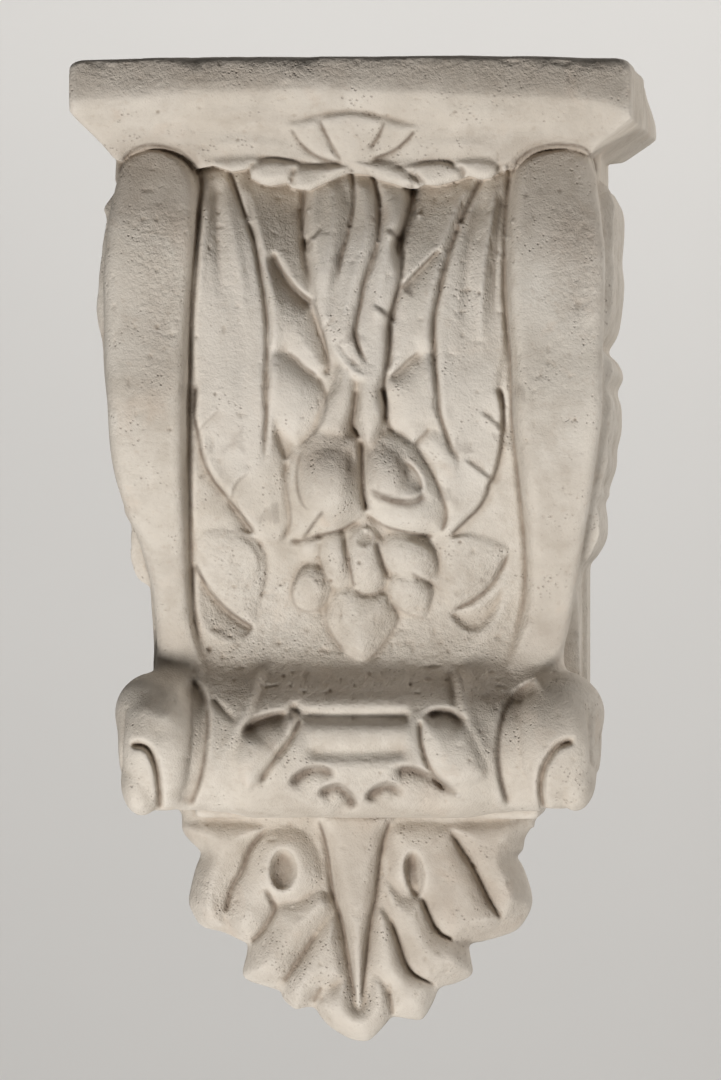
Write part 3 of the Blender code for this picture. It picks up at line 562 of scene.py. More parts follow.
def carve_roll():
    g = Relief(IMG_W, IMG_H, 0.0)
    # ridges that frame the middle of the roll
    g.groove([(262, 664), (253, 690), (244, 715), (235, 732), (223, 757), (212, 796)], 6.5, -1.3, (0.1, 0.2))
    g.groove([(272, 668), (262, 694), (254, 716), (243, 738)], 6, 1.0, (0.1, 0.3))
    g.groove([(457, 664), (463, 695), (467, 717), (482, 746), (490, 772)], 6.5, -1.3, (0.1, 0.2))
    g.groove([(449, 668), (454, 694), (458, 716)], 6, 0.9, (0.1, 0.3))
    g.groove([(209, 695), (224, 710), (239, 725)], 4.5, 0.9, (0.2, 0.3))
    # left almond, broad dark top
    g.lobe([(240, 736), (252, 722), (272, 714), (292, 713), (299, 719), (288, 742), (269, 764), (250, 792), (238, 782), (233, 760)], 3.4, 20, -1.2, tilt=(0.0, 0.022), power=2.0, root=0.85)
    g.crease([(238, 736), (250, 722), (268, 714), (292, 711)], -4.6, 24, 0.4, 7, (0.25, 0.2), 2.6, 7.5)
    g.groove([(294, 719), (284, 738), (266, 760), (247, 788)], 4.0, -0.9, (0.2, 0.15))
    g.groove([(302, 716), (291, 739), (273, 762), (258, 786)], 4.0, 1.9, (0.1, 0.15))
    # two flutes between the almonds
    g.groove([(290, 702), (299, 713), (330, 716), (380, 716), (412, 716)], 7.0, 2.1, (0.05, 0.05))
    g.groove([(304, 731), (330, 731.5), (380, 731.5), (412, 731)], 7.5, -1.0, (0.06, 0.06))
    g.groove([(303, 751), (330, 752.5), (370, 752), (412, 750)], 8.5, 1.9, (0.12, 0.12))
    g.groove([(303, 768), (350, 769), (412, 767)], 8.0, -0.6, (0.15, 0.15))
    g.groove([(300, 704), (350, 703), (412, 703)], 7.0, -0.45, (0.15, 0.15))
    # right almond
    g.lobe([(420, 722), (430, 713), (448, 712), (468, 723), (480, 742), (489, 765), (485, 781), (466, 788), (447, 789), (434, 774), (424, 750)], 3.6, 22, -1.2, tilt=(0.0, 0.018), power=2.0, root=0.85)
    g.groove([(420, 719), (422, 745), (431, 770), (446, 790)], 3.2, 2.1, (0.1, 0.1))
    g.crease([(421, 717), (435, 710), (452, 711), (471, 722)], -3.3, 21, 0.3, 7, (0.2, 0.25), 3.2, 6.0)
    # row of leaf tips along the underside: each has a steep ledge above a slope that faces up
    g.crease([(284, 785), (298, 773), (312, 767), (326, 768), (340, 776)], -4.1, 14, 0.3, 6, (0.25, 0.25), 2.2, 6.5)
    g.crease([(312, 797), (324, 788), (338, 785), (350, 793), (360, 809)], -4.1, 14, 0.3, 6, (0.3, 0.2), 2.2, 6.5)
    g.crease([(362, 802), (372, 790), (388, 784), (408, 793)], -4.2, 12, 0.3, 6, (0.25, 0.3), 2.2, 6.0)
    g.crease([(389, 767), (414, 768), (438, 779), (464, 796)], -4.1, 14, 0.3, 6, (0.2, 0.3), 2.2, 6.0)
    # seams between the roll and its volutes
    g.crease([(188, 676), (203, 690), (208.5, 712), (208, 739), (202, 778), (190, 810)], -2.4, 12, 0.4, 8, (0.08, 0.08), 3.2, 3.0)
    g.crease([(536, 677), (511, 697), (500, 722), (496.5, 750), (499, 778), (507, 808)], 0.4, 8, -2.4, 12, (0.08, 0.08), 3.2, 3.0)
    # small bosses on the volutes
    g.groove([(129, 744), (146, 747), (155, 762), (159, 784), (160, 812)], 3.6, 2.2, (0.1, 0.1))
    g.groove([(576, 740), (559, 745), (549, 758), (543, 771), (541, 791), (545, 812)], 3.6, 2.2, (0.1, 0.1))
    g.groove([(140, 700), (150, 712), (164, 716), (178, 712)], 9, -0.7, (0.3, 0.3))
    return g


PENDANT_OUTLINE = [(180, 768), (182, 815), (183, 830), (190, 840), (200, 850), (200.5, 857), (195, 871), (189, 899), (193, 913), (203, 926), (223, 932), (240, 940), (247, 944),
                   (247, 953), (243, 973), (250, 981), (269, 987), (280, 991), (284, 999), (291, 1006), (297, 1009), (306, 1007), (315, 1008), (322, 1018), (332, 1028), (349, 1038), (362, 1041),
                   (371, 1039), (383, 1027), (391, 1018), (398, 1017), (418, 1020), (425, 1016), (433, 1002), (440, 988), (456, 983), (472, 974), (471, 959), (470, 945),
                   (484, 941), (502, 936), (519, 928), (531, 908), (531, 891), (523, 867), (517.5, 857), (523, 849), (525, 838), (531, 828), (535, 822), (535, 768)]


def carve_pendant():
    g = Relief(IMG_W, IMG_H, -2.4)
    # V-shaped rib down the middle, with a soft ridge on it
    g.lobe([(318, 812), (389, 812), (384, 838), (378, 870), (372, 905), (367, 945), (363, 985), (359, 1008), (355, 990), (350, 955), (344, 920), (335, 885), (328, 848)],
           4.2, 16, -2.0, k=0.5, power=2.0, root=0.8)
    g.groove([(318, 818), (327, 850), (333, 893), (341, 918), (347, 950), (352, 980), (357, 1006)], 3.0, 2.0, (0.04, 0.1))
    g.groove([(390, 818), (381, 855), (377, 893), (371, 923), (366, 962), (361, 1004)], 3.0, 1.9, (0.04, 0.1))
    # lobes of the leaf
    g.lobe([(186, 822), (250, 822), (268, 830), (252, 846), (242, 870), (232, 888), (224, 915), (228, 930), (203, 926), (193, 913), (190, 899), (196, 871), (201, 852), (187, 838)],
           2.8, 24, -3.4, power=2.0, root=0.95)
    g.lobe([(252, 846), (266, 830), (300, 828), (318, 850), (322, 880), (300, 900), (276, 906), (264, 928), (249, 942), (230, 932), (226, 914), (233, 888), (243, 870)],
           2.6, 24, -3.4, power=2.0, root=0.95)
    g.lobe([(276, 906), (300, 900), (322, 890), (334, 905), (318, 932), (300, 958), (284, 980), (268, 986), (248, 979), (244, 965), (250, 944), (264, 928)], 3.0, 24, -3.4, power=2.0, root=0.95)
    g.lobe([(318, 932), (336, 915), (344, 945), (346, 975), (334, 985), (318, 990), (306, 1006), (294, 1008), (284, 996), (286, 980), (300, 958)], 3.0, 20, -3.4, power=2.0, root=0.95)
    g.lobe([(334, 985), (347, 975), (356, 1006), (366, 1000), (374, 975), (388, 985), (392, 1014), (372, 1038), (350, 1038), (332, 1027), (315, 1006)], 2.8, 22, -3.4, power=2.0, root=0.95)
    g.lobe([(448, 824), (532, 822), (524, 838), (518, 855), (530, 890), (530, 908), (505, 922), (490, 900), (474, 866), (462, 848)], 2.8, 24, -3.4, power=2.0, root=0.95)
    g.lobe([(392, 826), (448, 824), (463, 850), (474, 868), (490, 900), (503, 922), (484, 938), (454, 940), (438, 930), (430, 915), (423, 896), (400, 890), (388, 870)], 2.6, 24, -3.4, power=2.0, root=0.95)
    g.lobe([(384, 880), (402, 896), (424, 900), (438, 932), (456, 942), (470, 950), (470, 972), (434, 984), (418, 978), (410, 968), (398, 935), (388, 915)], 3.0, 24, -3.4, power=2.0, root=0.95)
    g.lobe([(376, 910), (390, 917), (400, 945), (410, 970), (433, 986), (424, 1014), (394, 1015), (389, 992), (378, 980), (370, 960)], 3.0, 20, -3.4, power=2.0, root=0.95)
    for line, w, d in (([(322, 838), (330, 880), (338, 915), (344, 950)], 8.0, 1.0), ([(384, 850), (376, 895), (368, 935), (363, 970)], 8.0, 0.9),
                       ([(232, 846), (222, 880), (212, 912)], 10.0, 0.8), ([(300, 918), (282, 950), (266, 974)], 9.0, -0.8),
                       ([(256, 906), (244, 924), (236, 936)], 7.0, -0.7), ([(404, 915), (424, 945), (446, 968)], 9.0, -0.9),
                       ([(474, 846), (494, 880), (514, 912)], 10.0, -0.9), ([(440, 850), (456, 884), (474, 918)], 10.0, -0.9)):
        g.groove(line, w, d, (0.25, 0.25))
    # two eyes
    g.groove([(283 + 17 * math.cos(a), 870 + 24 * math.sin(a)) for a in np.arange(0.0, 6.6, 0.5)], 7.0, -0.9, (0.0, 0.0))
    g.sink([(283 + 13 * math.cos(a), 870 + 20 * math.sin(a)) for a in np.arange(0.0, 6.2, 0.5)], 5.4, 13, tilt=(0.10, -0.06))
    g.groove([(414 + 15 * math.cos(a), 874 + 24 * math.sin(a)) for a in np.arange(0.0, 6.6, 0.5)], 7.0, -0.8, (0.0, 0.0))
    g.sink([(412, 852), (419, 858), (424, 873), (423, 889), (418, 897), (410, 890), (405, 873), (406, 858)], 5.6, 9, tilt=(-0.12, -0.08))
    # dark fill in the two eye hollows: painted shade and dust
    for outline, amount in (([(281, 852), (291, 858), (294, 872), (289, 886), (280, 890), (273, 880), (272, 864)], 0.62),
                            ([(411, 853), (417, 858), (420, 872), (419, 886), (411, 884), (406, 872), (406, 860)], 0.85)):
        win, sd = g.signed(outline, 20)
        g.shade_and_dust_lines[win] = np.maximum(g.shade_and_dust_lines[win], amount * smooth((sd + 1.5) / 7.0))
    for line, w, d in (([(269, 826), (252, 846), (242, 870), (232, 888), (225, 915)], 2.8, 2.0),
                       ([(264, 886), (272, 900), (275, 910), (263, 929), (250, 943)], 3.0, 2.2),
                       ([(318, 931), (301, 957), (283, 983)], 2.6, 1.7),
                       ([(322, 986), (313, 1003)], 2.4, 1.3),
                       ([(449, 829), (463, 850), (474, 867), (490, 899), (503, 921)], 2.8, 2.0),
                       ([(421, 895), (430, 916), (439, 932), (454, 940)], 3.0, 2.2),
                       ([(390, 915), (400, 944), (411, 971), (434, 985)], 2.6, 1.7),
                       ([(389, 988), (393, 1015)], 2.4, 1.3)):
        g.groove(line, w, d, (0.15, 0.08))
    return g


# ------------------------------------------------------------------ noise
RNG = np.random.default_rng(74)
TABLE = RNG.random(4096).astype(np.float32)


def lattice(i, j, k):
    n = (i * 73856093) ^ (j * 19349663) ^ (k * 83492791)
    return TABLE[n & 4095]


def noise3(p, size, seed=0):
    """Smooth value noise, -1 to 1, with cells of the given size in mm."""
    q = p / size + seed * 17.3
    f = np.floor(q)
    i, j, k = (f[:, n].astype(np.int64) for n in range(3))
    w = (q - f).astype(np.float32)
    w = w * w * (3.0 - 2.0 * w)
    out = np.zeros(len(p), np.float32)
    for a in (0, 1):
        for b in (0, 1):
            for c in (0, 1):
                wt = (w[:, 0] if a else 1 - w[:, 0]) * (w[:, 1] if b else 1 - w[:, 1]) * (w[:, 2] if c else 1 - w[:, 2])
                out += wt * lattice(i + a, j + b, k + c)
    return out * 2.0 - 1.0


def sample(c, px, py):
    """Bilinear reading of a map."""
    h, w = c.shape
    px = np.clip(px, 0, w - 1.001)
    py = np.clip(py, 0, h - 1.001)
    i = px.astype(np.int32)
    j = py.astype(np.int32)
    fx = (px - i).astype(np.float32)
    fy = (py - j).astype(np.float32)
    flat = c.ravel()
    n = j * w + i
    return (flat[n] * (1 - fx) + flat[n + 1] * fx) * (1 - fy) + (flat[n + w] * (1 - fx) + flat[n + w + 1] * fx) * fy


# ------------------------------------------------------------------ the solid field
SIDE_LEFT_SIL = [(126, 180), (113, 195), (104, 208), (107, 218), (102.5, 250), (97, 310), (103, 342), (106, 380), (109, 401), (113, 416), (113, 443), (119, 475), (125, 499),
                 (125, 512), (132, 526), (130, 543), (131, 560), (137, 577), (147, 590), (152, 610)]
SIDE_RIGHT_SIL = [(604, 170), (608, 177), (610, 190), (618, 207), (619, 228), (617, 258), (619, 281), (616, 313), (612, 332), (603, 349), (612, 359), (618, 374), (612, 390),
                  (616, 405), (616, 430), (612, 447), (611, 466), (604, 487), (604, 495), (600, 502), (602, 520), (601, 539), (592, 556), (582, 568), (578, 590)]
SIDE_NOTCHES_Z = (137.0, 122.0, 98.0, 76.0, 61.0, 44.0, 21.0, 5.0, -10.0)


class Casting:
    def __init__(self):
        panel = carve_panel()
        carve_middle(panel)
        carve_band(panel)
        band = band_masks()
        # the carving ends under the bands
        panel.h *= (1.0 - 0.92 * smooth((band.h - 0.25) / 0.6))
        panel.h = blur(panel.h, 1)
        self.panel = panel.h
        self.band = blur(band.h, 1)
        mould, roll, pend = carve_moulding(), carve_roll(), carve_pendant()
        self.mould = blur(mould.h, 1)
        self.roll = blur(roll.h, 1)
        self.pend = blur(pend.h, 1)
        self.shade_and_dust_lines = np.maximum(np.maximum(panel.shade_and_dust_lines, mould.shade_and_dust_lines), np.maximum(roll.shade_and_dust_lines, pend.shade_and_dust_lines))
        gx, gy = np.arange(IMG_W)[None, :], np.arange(IMG_H)[:, None]
        # dark dots in the pinholes and dark rings round the air-bubble beads: painted shade and dust
        for hx, hy, hs in PINHOLES:
            self.shade_and_dust_lines = np.maximum(self.shade_and_dust_lines, min(1.0, 0.5 + 0.6 * hs) * np.exp(-((gx - hx) ** 2 + (gy - hy) ** 2) / (1.2 + 1.0 * hs) ** 2)).astype(np.float32)
        for hx, hy, hs in BEADS:
            ring = np.exp(-((np.hypot(gx - hx, gy - hy - 0.6) - 2.6 * hs) / 1.2) ** 2)
            self.shade_and_dust_lines = np.maximum(self.shade_and_dust_lines, 0.45 * ring).astype(np.float32)
        r = Relief(IMG_W, IMG_H)
        line = curve(PENDANT_OUTLINE, 3.0, True)
        win, d, _, _ = r.stroke(line, 60, True)
        m = r.inside(line, win)
        out = np.full((IMG_H, IMG_W), -60.0, np.float32)
        out[win] = np.where(m, np.minimum(d, 60.0), -np.minimum(d, 60.0))
        self.pend_sd = out * 0.365
        cols = np.arange(IMG_W)
        f = np.asarray(FILLET_FOOT, float)
        uneven = np.column_stack([cols, 0 * cols, 0 * cols]).astype(np.float32)
        self.fillet_py = (np.interp(cols, f[:, 0], f[:, 1]) + 2.3 * noise3(uneven, 31.0, 41) + 1.3 * noise3(uneven, 11.0, 42)).astype(np.float32)
        f = np.asarray(MOULD_FOOT, float)
        self.foot_py = np.interp(cols, f[:, 0], f[:, 1]).astype(np.float32)
        rows = np.arange(IMG_H)
        for name, pts in (("bl", BAND_LEFT_OUT), ("br", BAND_RIGHT_OUT)):
            c = curve(pts, 4.0)
            setattr(self, name, np.interp(rows, c[:, 1], c[:, 0]).astype(np.float32))
        # side silhouettes as half-widths over height
        self.zs = np.arange(-185.0, 185.0, 0.5)
        c = curve(SIDE_LEFT_SIL, 3.0)
        t_ref = band_depth(z_at(c[:, 1], 90.0)) - 24.0
        zl = z_at(c[:, 1], t_ref)
        xl = -x_at(c[:, 0], t_ref)
        self.xl = np.interp(self.zs, zl[::-1], xl[::-1])
        c = curve(SIDE_RIGHT_SIL, 3.0)
        zr = z_at(c[:, 1], 58.0)
        xr = x_at(c[:, 0], 58.0)
        self.xr = np.interp(self.zs, zr[::-1], xr[::-1])
        for a in ("xl", "xr"):
            v = getattr(self, a)
            v = np.where(self.zs < -9.0, 79.0, v)
            v = np.where(self.zs > 136.0, 88.0, v)
            setattr(self, a, np.convolve(np.pad(v, 2, mode="edge"), np.ones(5) / 5, "valid").astype(np.float32))

    def side_relief(self, t, z, front):
        """Plain leaf ribs on the two side faces, one to each tip, fading towards the wall."""
        back = front - t                                   # distance behind the front
        zz = z + 0.42 * (back - 22.0)
        q = np.interp(zz, SIDE_NOTCHES_Z[::-1], np.arange(len(SIDE_NOTCHES_Z), dtype=float)[::-1]).astype(np.float32)
        f = q - np.floor(q)
        rib = (4.0 * f * (1.0 - f)) ** 0.6
        fade = smooth((back - 20.0) / 5.0) * smooth((t - 26.0) / 22.0) * smooth((z + 16.0) / 12.0) * smooth((140.0 - z) / 10.0)
        mid = np.exp(-((f - 0.5) / 0.10) ** 2)
        return (2.6 * (rib - 1.0) - 0.7 * mid) * fade

    def value(self, x, t, z):
        """Signed field in mm, negative inside, for flat arrays of points."""
        px, py = project(x, t, z)
        zi = np.clip(((z + 185.0) * 2.0), 0, len(self.zs) - 1.001)
        z0 = zi.astype(np.int32)
        zf = zi - z0
        pxi = np.clip(px, 0, IMG_W - 1).astype(np.int32)
        pyi = np.clip(py, 0, IMG_H - 1).astype(np.int32)
        ax = np.abs(x)
        f = np.full(x.shape, 60.0, np.float32)

        # ---- scroll body
        m = (z > -70.0) & (z < 158.0)
        if m.any():
            xm, tm, zm = x[m], t[m], z[m]
            pxm, pym = px[m], py[m]
            b = sample(self.band, pxm, pym)
            pd, bd = panel_depth(zm), band_depth(zm)
            front = pd + (bd - pd) * b + sample(self.panel, pxm, pym) * smooth((zm + 47.0) / 10.0)
            ff = tm - front
            # outer edge of the bands, near the front
            rows = pyi[m]
            edge = np.where(xm < 0, self.bl[rows] - pxm, pxm - self.br[rows]) * 0.365
            near = bd - tm
            sides = np.where(xm < 0, self.xl[z0[m]] * (1 - zf[m]) + self.xl[z0[m] + 1] * zf[m], self.xr[z0[m]] * (1 - zf[m]) + self.xr[z0[m] + 1] * zf[m])
            wall = np.abs(xm) - sides - self.side_relief(tm, zm, bd)
            band_wall = edge + 0.0
            w = smooth((near - 17.0) / 5.0)
            body_low = np.abs(xm) - 80.4
            wall = np.where(zm < -9.0, np.maximum(wall, body_low), wall)
            fs = band_wall * (1 - w) + wall * w
            # the leaf starts as a step behind the band
            v = smax(ff, fs, 8.5)
            v = smax(v, zm - 152.0, 3.0)
            v = np.maximum(v, -62.0 - zm)
            f[m] = np.minimum(f[m], v)

        # ---- back plate
        m = (z > -92.0) & (z < 140.0) & (t < 40.0)
        if m.any():
            v = smax(ax[m] - 81.2, t[m] - 24.0, 2.0)
            v = smax(v, -78.0 - z[m], 3.0)
            f[m] = smin(f[m], v, 1.5)

        # ---- core behind the roll
        m = (z > -112.0) & (z < -30.0) & (t < 80.0)
        if m.any():
            v = smax(ax[m] - 64.0, t[m] - 44.0, 4.0)
            v = smax(v, np.abs(z[m] + 66.0) - 30.0, 3.0)
            f[m] = smin(f[m], v, 2.0)

        # ---- roll with its relief
        m = (z > -104.0) & (z < -4.0) & (t > 20.0)
        if m.any():
            xm, tm, zm = x[m], t[m], z[m]
            a = np.abs(xm + 1.0)
            rad = 26.4 - 2.0 * smooth((a - 38.0) / 14.0) - 0.6 * smooth((a - 52.0) / 6.0)
            r = np.hypot(tm - 59.0, zm + 68.4)
            facing = smooth((tm - 52.0) / 16.0)
            v = r - rad - sample(self.roll, px[m], py[m]) * facing
            v = smax(v, a - 68.0, 3.0)
            f[m] = smin(f[m], v, 1.6 + 15.0 * smooth((zm + 58.0) / 12.0))

        # ---- volutes and their bosses
        m = (z > -102.0) & (z < -34.0) & (ax > 44.0)
        if m.any():
            xm, tm, zm = x[m], t[m], z[m]
            side = np.where(xm < 0, -1.0, 1.0)
            cx = np.where(xm < 0, -73.2, 71.4)
            cz = np.where(xm < 0, -67.0, -66.0)
            dx = np.abs(xm - cx) / 16.2
            rr = np.hypot((tm - 61.0) * np.where(tm > 61.0, 0.82, 1.0), zm - cz)
            e = 2.5
            q = (dx ** e + (rr / 25.2) ** e) ** (1.0 / e)
            v = (q - 1.0) * 18.0
            ang = np.arctan2(zm - cz, tm - 62.0)
            # spiral on the outer face
            turn = (ang / (2 * np.pi) - np.log(np.maximum(rr, 1.5) / 25.0) / 0.85)
            frac = turn - np.floor(turn)
            groove = np.exp(-((frac - 0.5) / 0.11) ** 2) * smooth((rr - 4.0) / 4.0) * smooth((22.5 - rr) / 4.0) * smooth(((xm - cx) * side - 9.0) / 4.0)
            v = v + 1.2 * groove - sample(self.roll, px[m], py[m]) * smooth((tm - 62.0) / 14.0)
            # small boss low on the outer side
            bx = np.where(xm < 0, -80.4, 78.6)
            bz = np.where(xm < 0, -81.0, -79.0)
            q = np.sqrt(((xm - bx) / 7.6) ** 2 + ((zm - bz) / 12.6) ** 2 + ((tm - 68.0) / 17.0) ** 2)
            v = smin(v, (q - 1.0) * 9.0, 0.8)
            # upper outer swelling
            bx = np.where(xm < 0, -77.0, 75.5)
            q = np.sqrt(((xm - bx) / 13.5) ** 2 + ((zm + 56.5) / 14.5) ** 2 + ((tm - 66.0) / 16.5) ** 2)
            v = smin(v, (q - 1.0) * 12.0, 2.0)
            f[m] = smin(f[m], v, 1.0 + 3.0 * smooth((zm + 50.0) / 6.0))

        # ---- hanging leaf
        m = (z < -70.0)
        if m.any():
            xm, tm, zm = x[m], t[m], z[m]
            drop = np.clip((-94.6 - zm) / 84.6, 0.0, 1.0)
            sd = sample(self.pend_sd, px[m], py[m])
            crown = 48.0 - 16.5 * drop - 0.0020 * (xm + 2.0) ** 2
            right = smooth((xm - 34.0 + 20.0 * drop) / 26.0)
            crown = crown - (2.0 + 6.0 * right) * (1.0 - smooth(sd / 8.5))
            v = tm - crown - sample(self.pend, px[m], py[m])
            v = smax(v, -sd, 4.0)
            v = smax(v, np.where(tm < 30.0, zm + 75.0, zm + 84.0), 1.0)
            f[m] = smin(f[m], v, 1.0)

        # ---- abacus and moulding
        m = (z > 118.0)
        if m.any():
            xm, tm, zm = x[m], t[m], z[m]
            pxm, pym = px[m], py[m]
            scale = 0.358
            drop = (pym - self.fillet_py[pxi[m]]) * scale
            inset = mould_inset(0.5 * (drop + np.sqrt(drop * drop + 7.0)) - 0.3)
            relief = sample(self.mould, pxm, pym) * smooth((pym - 100.0) / 12.0)
            top = 180.0 + np.interp(xm, [p[0] for p in TOP_EDGE], [p[1] for p in TOP_EDGE])
            lean = 2.3 * np.clip(-drop / 15.0, 0.0, 1.2)
            ff = tm - (125.0 - inset - lean + relief)
            # ends
            foot = np.where(xm < 0, 161.0, 157.5)
            end_inset = mould_inset((foot - zm) * np.where(xm < 0, 1.15, 1.7))
            half = np.where(xm < 0, 106.0, 106.0) - 5.5 * np.clip(tm / 125.0, 0, 1)
            half = half - np.where(xm > 0, 4.2 * smooth((zm - 160.0) / 18.0) * smooth((70.0 - tm) / 60.0), 0.0)
            fs = np.abs(xm) - half + end_inset
            ft = zm - top
            fb = (pym - self.foot_py[pxi[m]]) * 0.36
            fb = np.maximum(fb, 128.0 - zm)
            near = np.stack([xm, 0.25 * tm, 0.6 * zm], 1)
            worn_edge = 2.2 + 5.0 * np.clip(noise3(near, 13.0, 31) + 0.1, 0.0, 1.0) + 2.2 * np.clip(noise3(near, 4.6, 33), 0.0, 1.0)
            v = smax(ff, fs, 3.0)
            v = smax(v, ft, worn_edge.astype(np.float32))
            v = smax(v, fb, 1.6)
            f[m] = smin(f[m], v, 0.8)

        return np.maximum(f, -t)


def surface_net(casting, step):
    """Closed quad mesh of the field's zero level on a regular grid (mm)."""
    sx, st, sz = step
    xs = np.arange(-111.0, 111.0 + sx, sx, dtype=np.float32)
    ts = np.arange(-1.0 * st - 0.37, 130.0, st, dtype=np.float32)
    zs = np.arange(-183.0, 184.0, sz, dtype=np.float32)
    vol = np.empty((len(zs), len(ts), len(xs)), np.float32)
    tt, xx = np.meshgrid(ts, xs, indexing="ij")
    chunk = 12
    for a in range(0, len(zs), chunk):
        b = min(len(zs), a + chunk)
        n = b - a
        x = np.broadcast_to(xx, (n,) + xx.shape).ravel()
        t = np.broadcast_to(tt, (n,) + tt.shape).ravel()
        z = np.repeat(zs[a:b], xx.size)
        vol[a:b] = casting.value(x, t, z).reshape(n, *xx.shape)
    vol[vol == 0.0] = 1e-4
    inside = vol < 0.0
    nz, nt, nx = vol.shape
    c = np.zeros((nz - 1, nt - 1, nx - 1), np.int8)
    for dz in (0, 1):
        for dt in (0, 1):
            for dx in (0, 1):
                c += inside[dz:nz - 1 + dz, dt:nt - 1 + dt, dx:nx - 1 + dx]
    active = (c > 0) & (c < 8)
    iz, it, ix = np.nonzero(active)
    ident = np.full(active.shape, -1, np.int32)
    ident[iz, it, ix] = np.arange(len(iz), dtype=np.int32)
    acc = np.zeros((len(iz), 3), np.float32)
    cnt = np.zeros(len(iz), np.float32)
    corners = [(a, b, d) for a in (0, 1) for b in (0, 1) for d in (0, 1)]
    vals = {k: vol[iz + k[0], it + k[1], ix + k[2]] for k in corners}
    for p in corners:
        for axis in range(3):
            if p[axis] == 1:
                continue
            q = list(p)
            q[axis] = 1
            q = tuple(q)
            fa, fb = vals[p], vals[q]
            cross = (fa < 0) != (fb < 0)
            w = np.where(cross, fa / np.where(cross, fa - fb, 1.0), 0.0)
            for n in range(3):
                acc[:, n] += np.where(cross, p[n] + (w if n == axis else 0.0), 0.0)
            cnt += cross
    acc /= cnt[:, None]
    verts = np.empty((len(iz), 3), np.float32)
    verts[:, 0] = xs[0] + (ix + acc[:, 2]) * sx
    verts[:, 1] = ts[0] + (it + acc[:, 1]) * st
    verts[:, 2] = zs[0] + (iz + acc[:, 0]) * sz
    quads = []
    # edges along x, t and z
    for axis in range(3):
        lo = [slice(1, -1)] * 3
        hi = [slice(1, -1)] * 3
        lo[axis] = slice(0, -1)
        hi[axis] = slice(1, None)
        a = inside[tuple(lo)]
        b = inside[tuple(hi)]
        e = np.nonzero(a != b)
        idx = [e[0] + (0 if axis == 0 else 1), e[1] + (0 if axis == 1 else 1), e[2] + (0 if axis == 2 else 1)]
        flip = a[e]
        u, v = [n for n in range(3) if n != axis]
        cells = []
        for du, dv in ((1, 1), (0, 1), (0, 0), (1, 0)):
            k = [idx[0].copy(), idx[1].copy(), idx[2].copy()]
            k[u] = k[u] - du
            k[v] = k[v] - dv
            cells.append(ident[k[0], k[1], k[2]])
        q = np.stack(cells, 1)
        turn = ~flip if axis != 1 else flip
        q[turn] = q[turn][:, ::-1]
        quads.append(q)
    return verts, np.vstack(quads)


def build_mesh(name, verts_m, quads):
    me = bpy.data.meshes.new(name)
    me.vertices.add(len(verts_m))
    me.vertices.foreach_set("co", np.ascontiguousarray(verts_m, np.float32).ravel())
    me.loops.add(quads.size)
    me.loops.foreach_set("vertex_index", np.ascontiguousarray(quads, np.int32).ravel())
    me.polygons.add(len(quads))
    me.polygons.foreach_set("loop_start", np.arange(0, quads.size, quads.shape[1], dtype=np.int32))
    me.update(calc_edges=True)
    me.validate()
    return me


def vertex_arrays(me):
    co = np.empty(len(me.vertices) * 3, np.float32)
    me.vertices.foreach_get("co", co)
    no = np.empty(len(me.vertices) * 3, np.float32)
    me.vertices.foreach_get("normal", no)
    return co.reshape(-1, 3), no.reshape(-1, 3)


# ------------------------------------------------------------------ surface wear
ROUGH_PATCHES = [  # outlines in the front view, strength
    ([(95, 62), (330, 58), (600, 62), (618, 76), (560, 84), (420, 82), (250, 84), (110, 92)], 0.9),
    ([(138, 210), (176, 215), (182, 300), (170, 345), (146, 330), (136, 270)], 0.9),
    ([(140, 340), (166, 345), (164, 400), (146, 398)], 0.45),
    ([(556, 215), (600, 225), (600, 300), (572, 330), (556, 290)], 0.8),
    ([(204, 225), (240, 240), (250, 330), (240, 350), (212, 300)], 0.35),
    ([(276, 270), (300, 300), (305, 345), (284, 340), (270, 300)], 0.6),
    ([(262, 200), (300, 200), (304, 250), (284, 260), (264, 240)], 0.5),
    ([(338, 300), (360, 330), (372, 368), (352, 366), (338, 340)], 0.7),
    ([(460, 220), (485, 240), (480, 340), (455, 350), (448, 280)], 0.3),
    ([(308, 438), (345, 440), (348, 468), (312, 470)], 0.8),
    ([(374, 442), (400, 446), (404, 470), (378, 468)], 0.8),
    ([(196, 590), (440, 545), (520, 590), (510, 655), (360, 662), (210, 655)], 0.7),
    ([(205, 545), (255, 545), (255, 605), (215, 590)], 0.6),
    ([(450, 550), (498, 555), (480, 600), (452, 600)], 0.4),
    ([(200, 664), (300, 664), (460, 668), (520, 672), (500, 705), (380, 700), (240, 708)], 1.0),
    ([(300, 775), (420, 775), (440, 812), (290, 812)], 0.5),
    ([(190, 880), (235, 880), (240, 925), (205, 925)], 0.6),
    ([(470, 850), (528, 860), (528, 915), (490, 925)], 0.6),
    ([(250, 950), (290, 950), (300, 1000), (260, 985)], 0.5),
    ([(410, 905), (470, 930), (460, 980), (415, 975)], 0.5),
]
BEADS = [(248, 220, 1.3), (312, 240, 0.9), (308.5, 211, 0.8), (380, 209, 0.8), (378, 243, 0.7), (420, 216, 0.9), (460, 225, 1.2), (508, 238, 1.0),
         (504, 167, 1.3), (514, 166, 1.2), (366, 530, 1.1), (350, 229, 0.7), (513, 222, 0.8), (458, 795, 0.9), (407, 187, 0.8), (415, 172, 0.8),
         (289, 181, 0.8), (292, 176, 0.7)]
PINHOLES = [(624, 147, 1.0), (358.5, 563, 0.9), (479, 293, 0.7), (331, 581, 0.6), (202, 476, 0.6), (460, 542, 0.6), (526, 195, 0.6), (215, 394, 0.5),
            (303, 418, 0.5), (209, 649, 1.2), (196, 337, 0.6), (238, 140, 0.6), (498, 252, 0.5), (300, 210, 0.5), (158, 112, 0.5), (455, 112, 0.5),
            (560, 190, 0.5), (170, 430, 0.5), (575, 420, 0.5), (330, 690, 0.7), (410, 684, 0.6), (283, 676, 0.6), (470, 760, 0.5)]


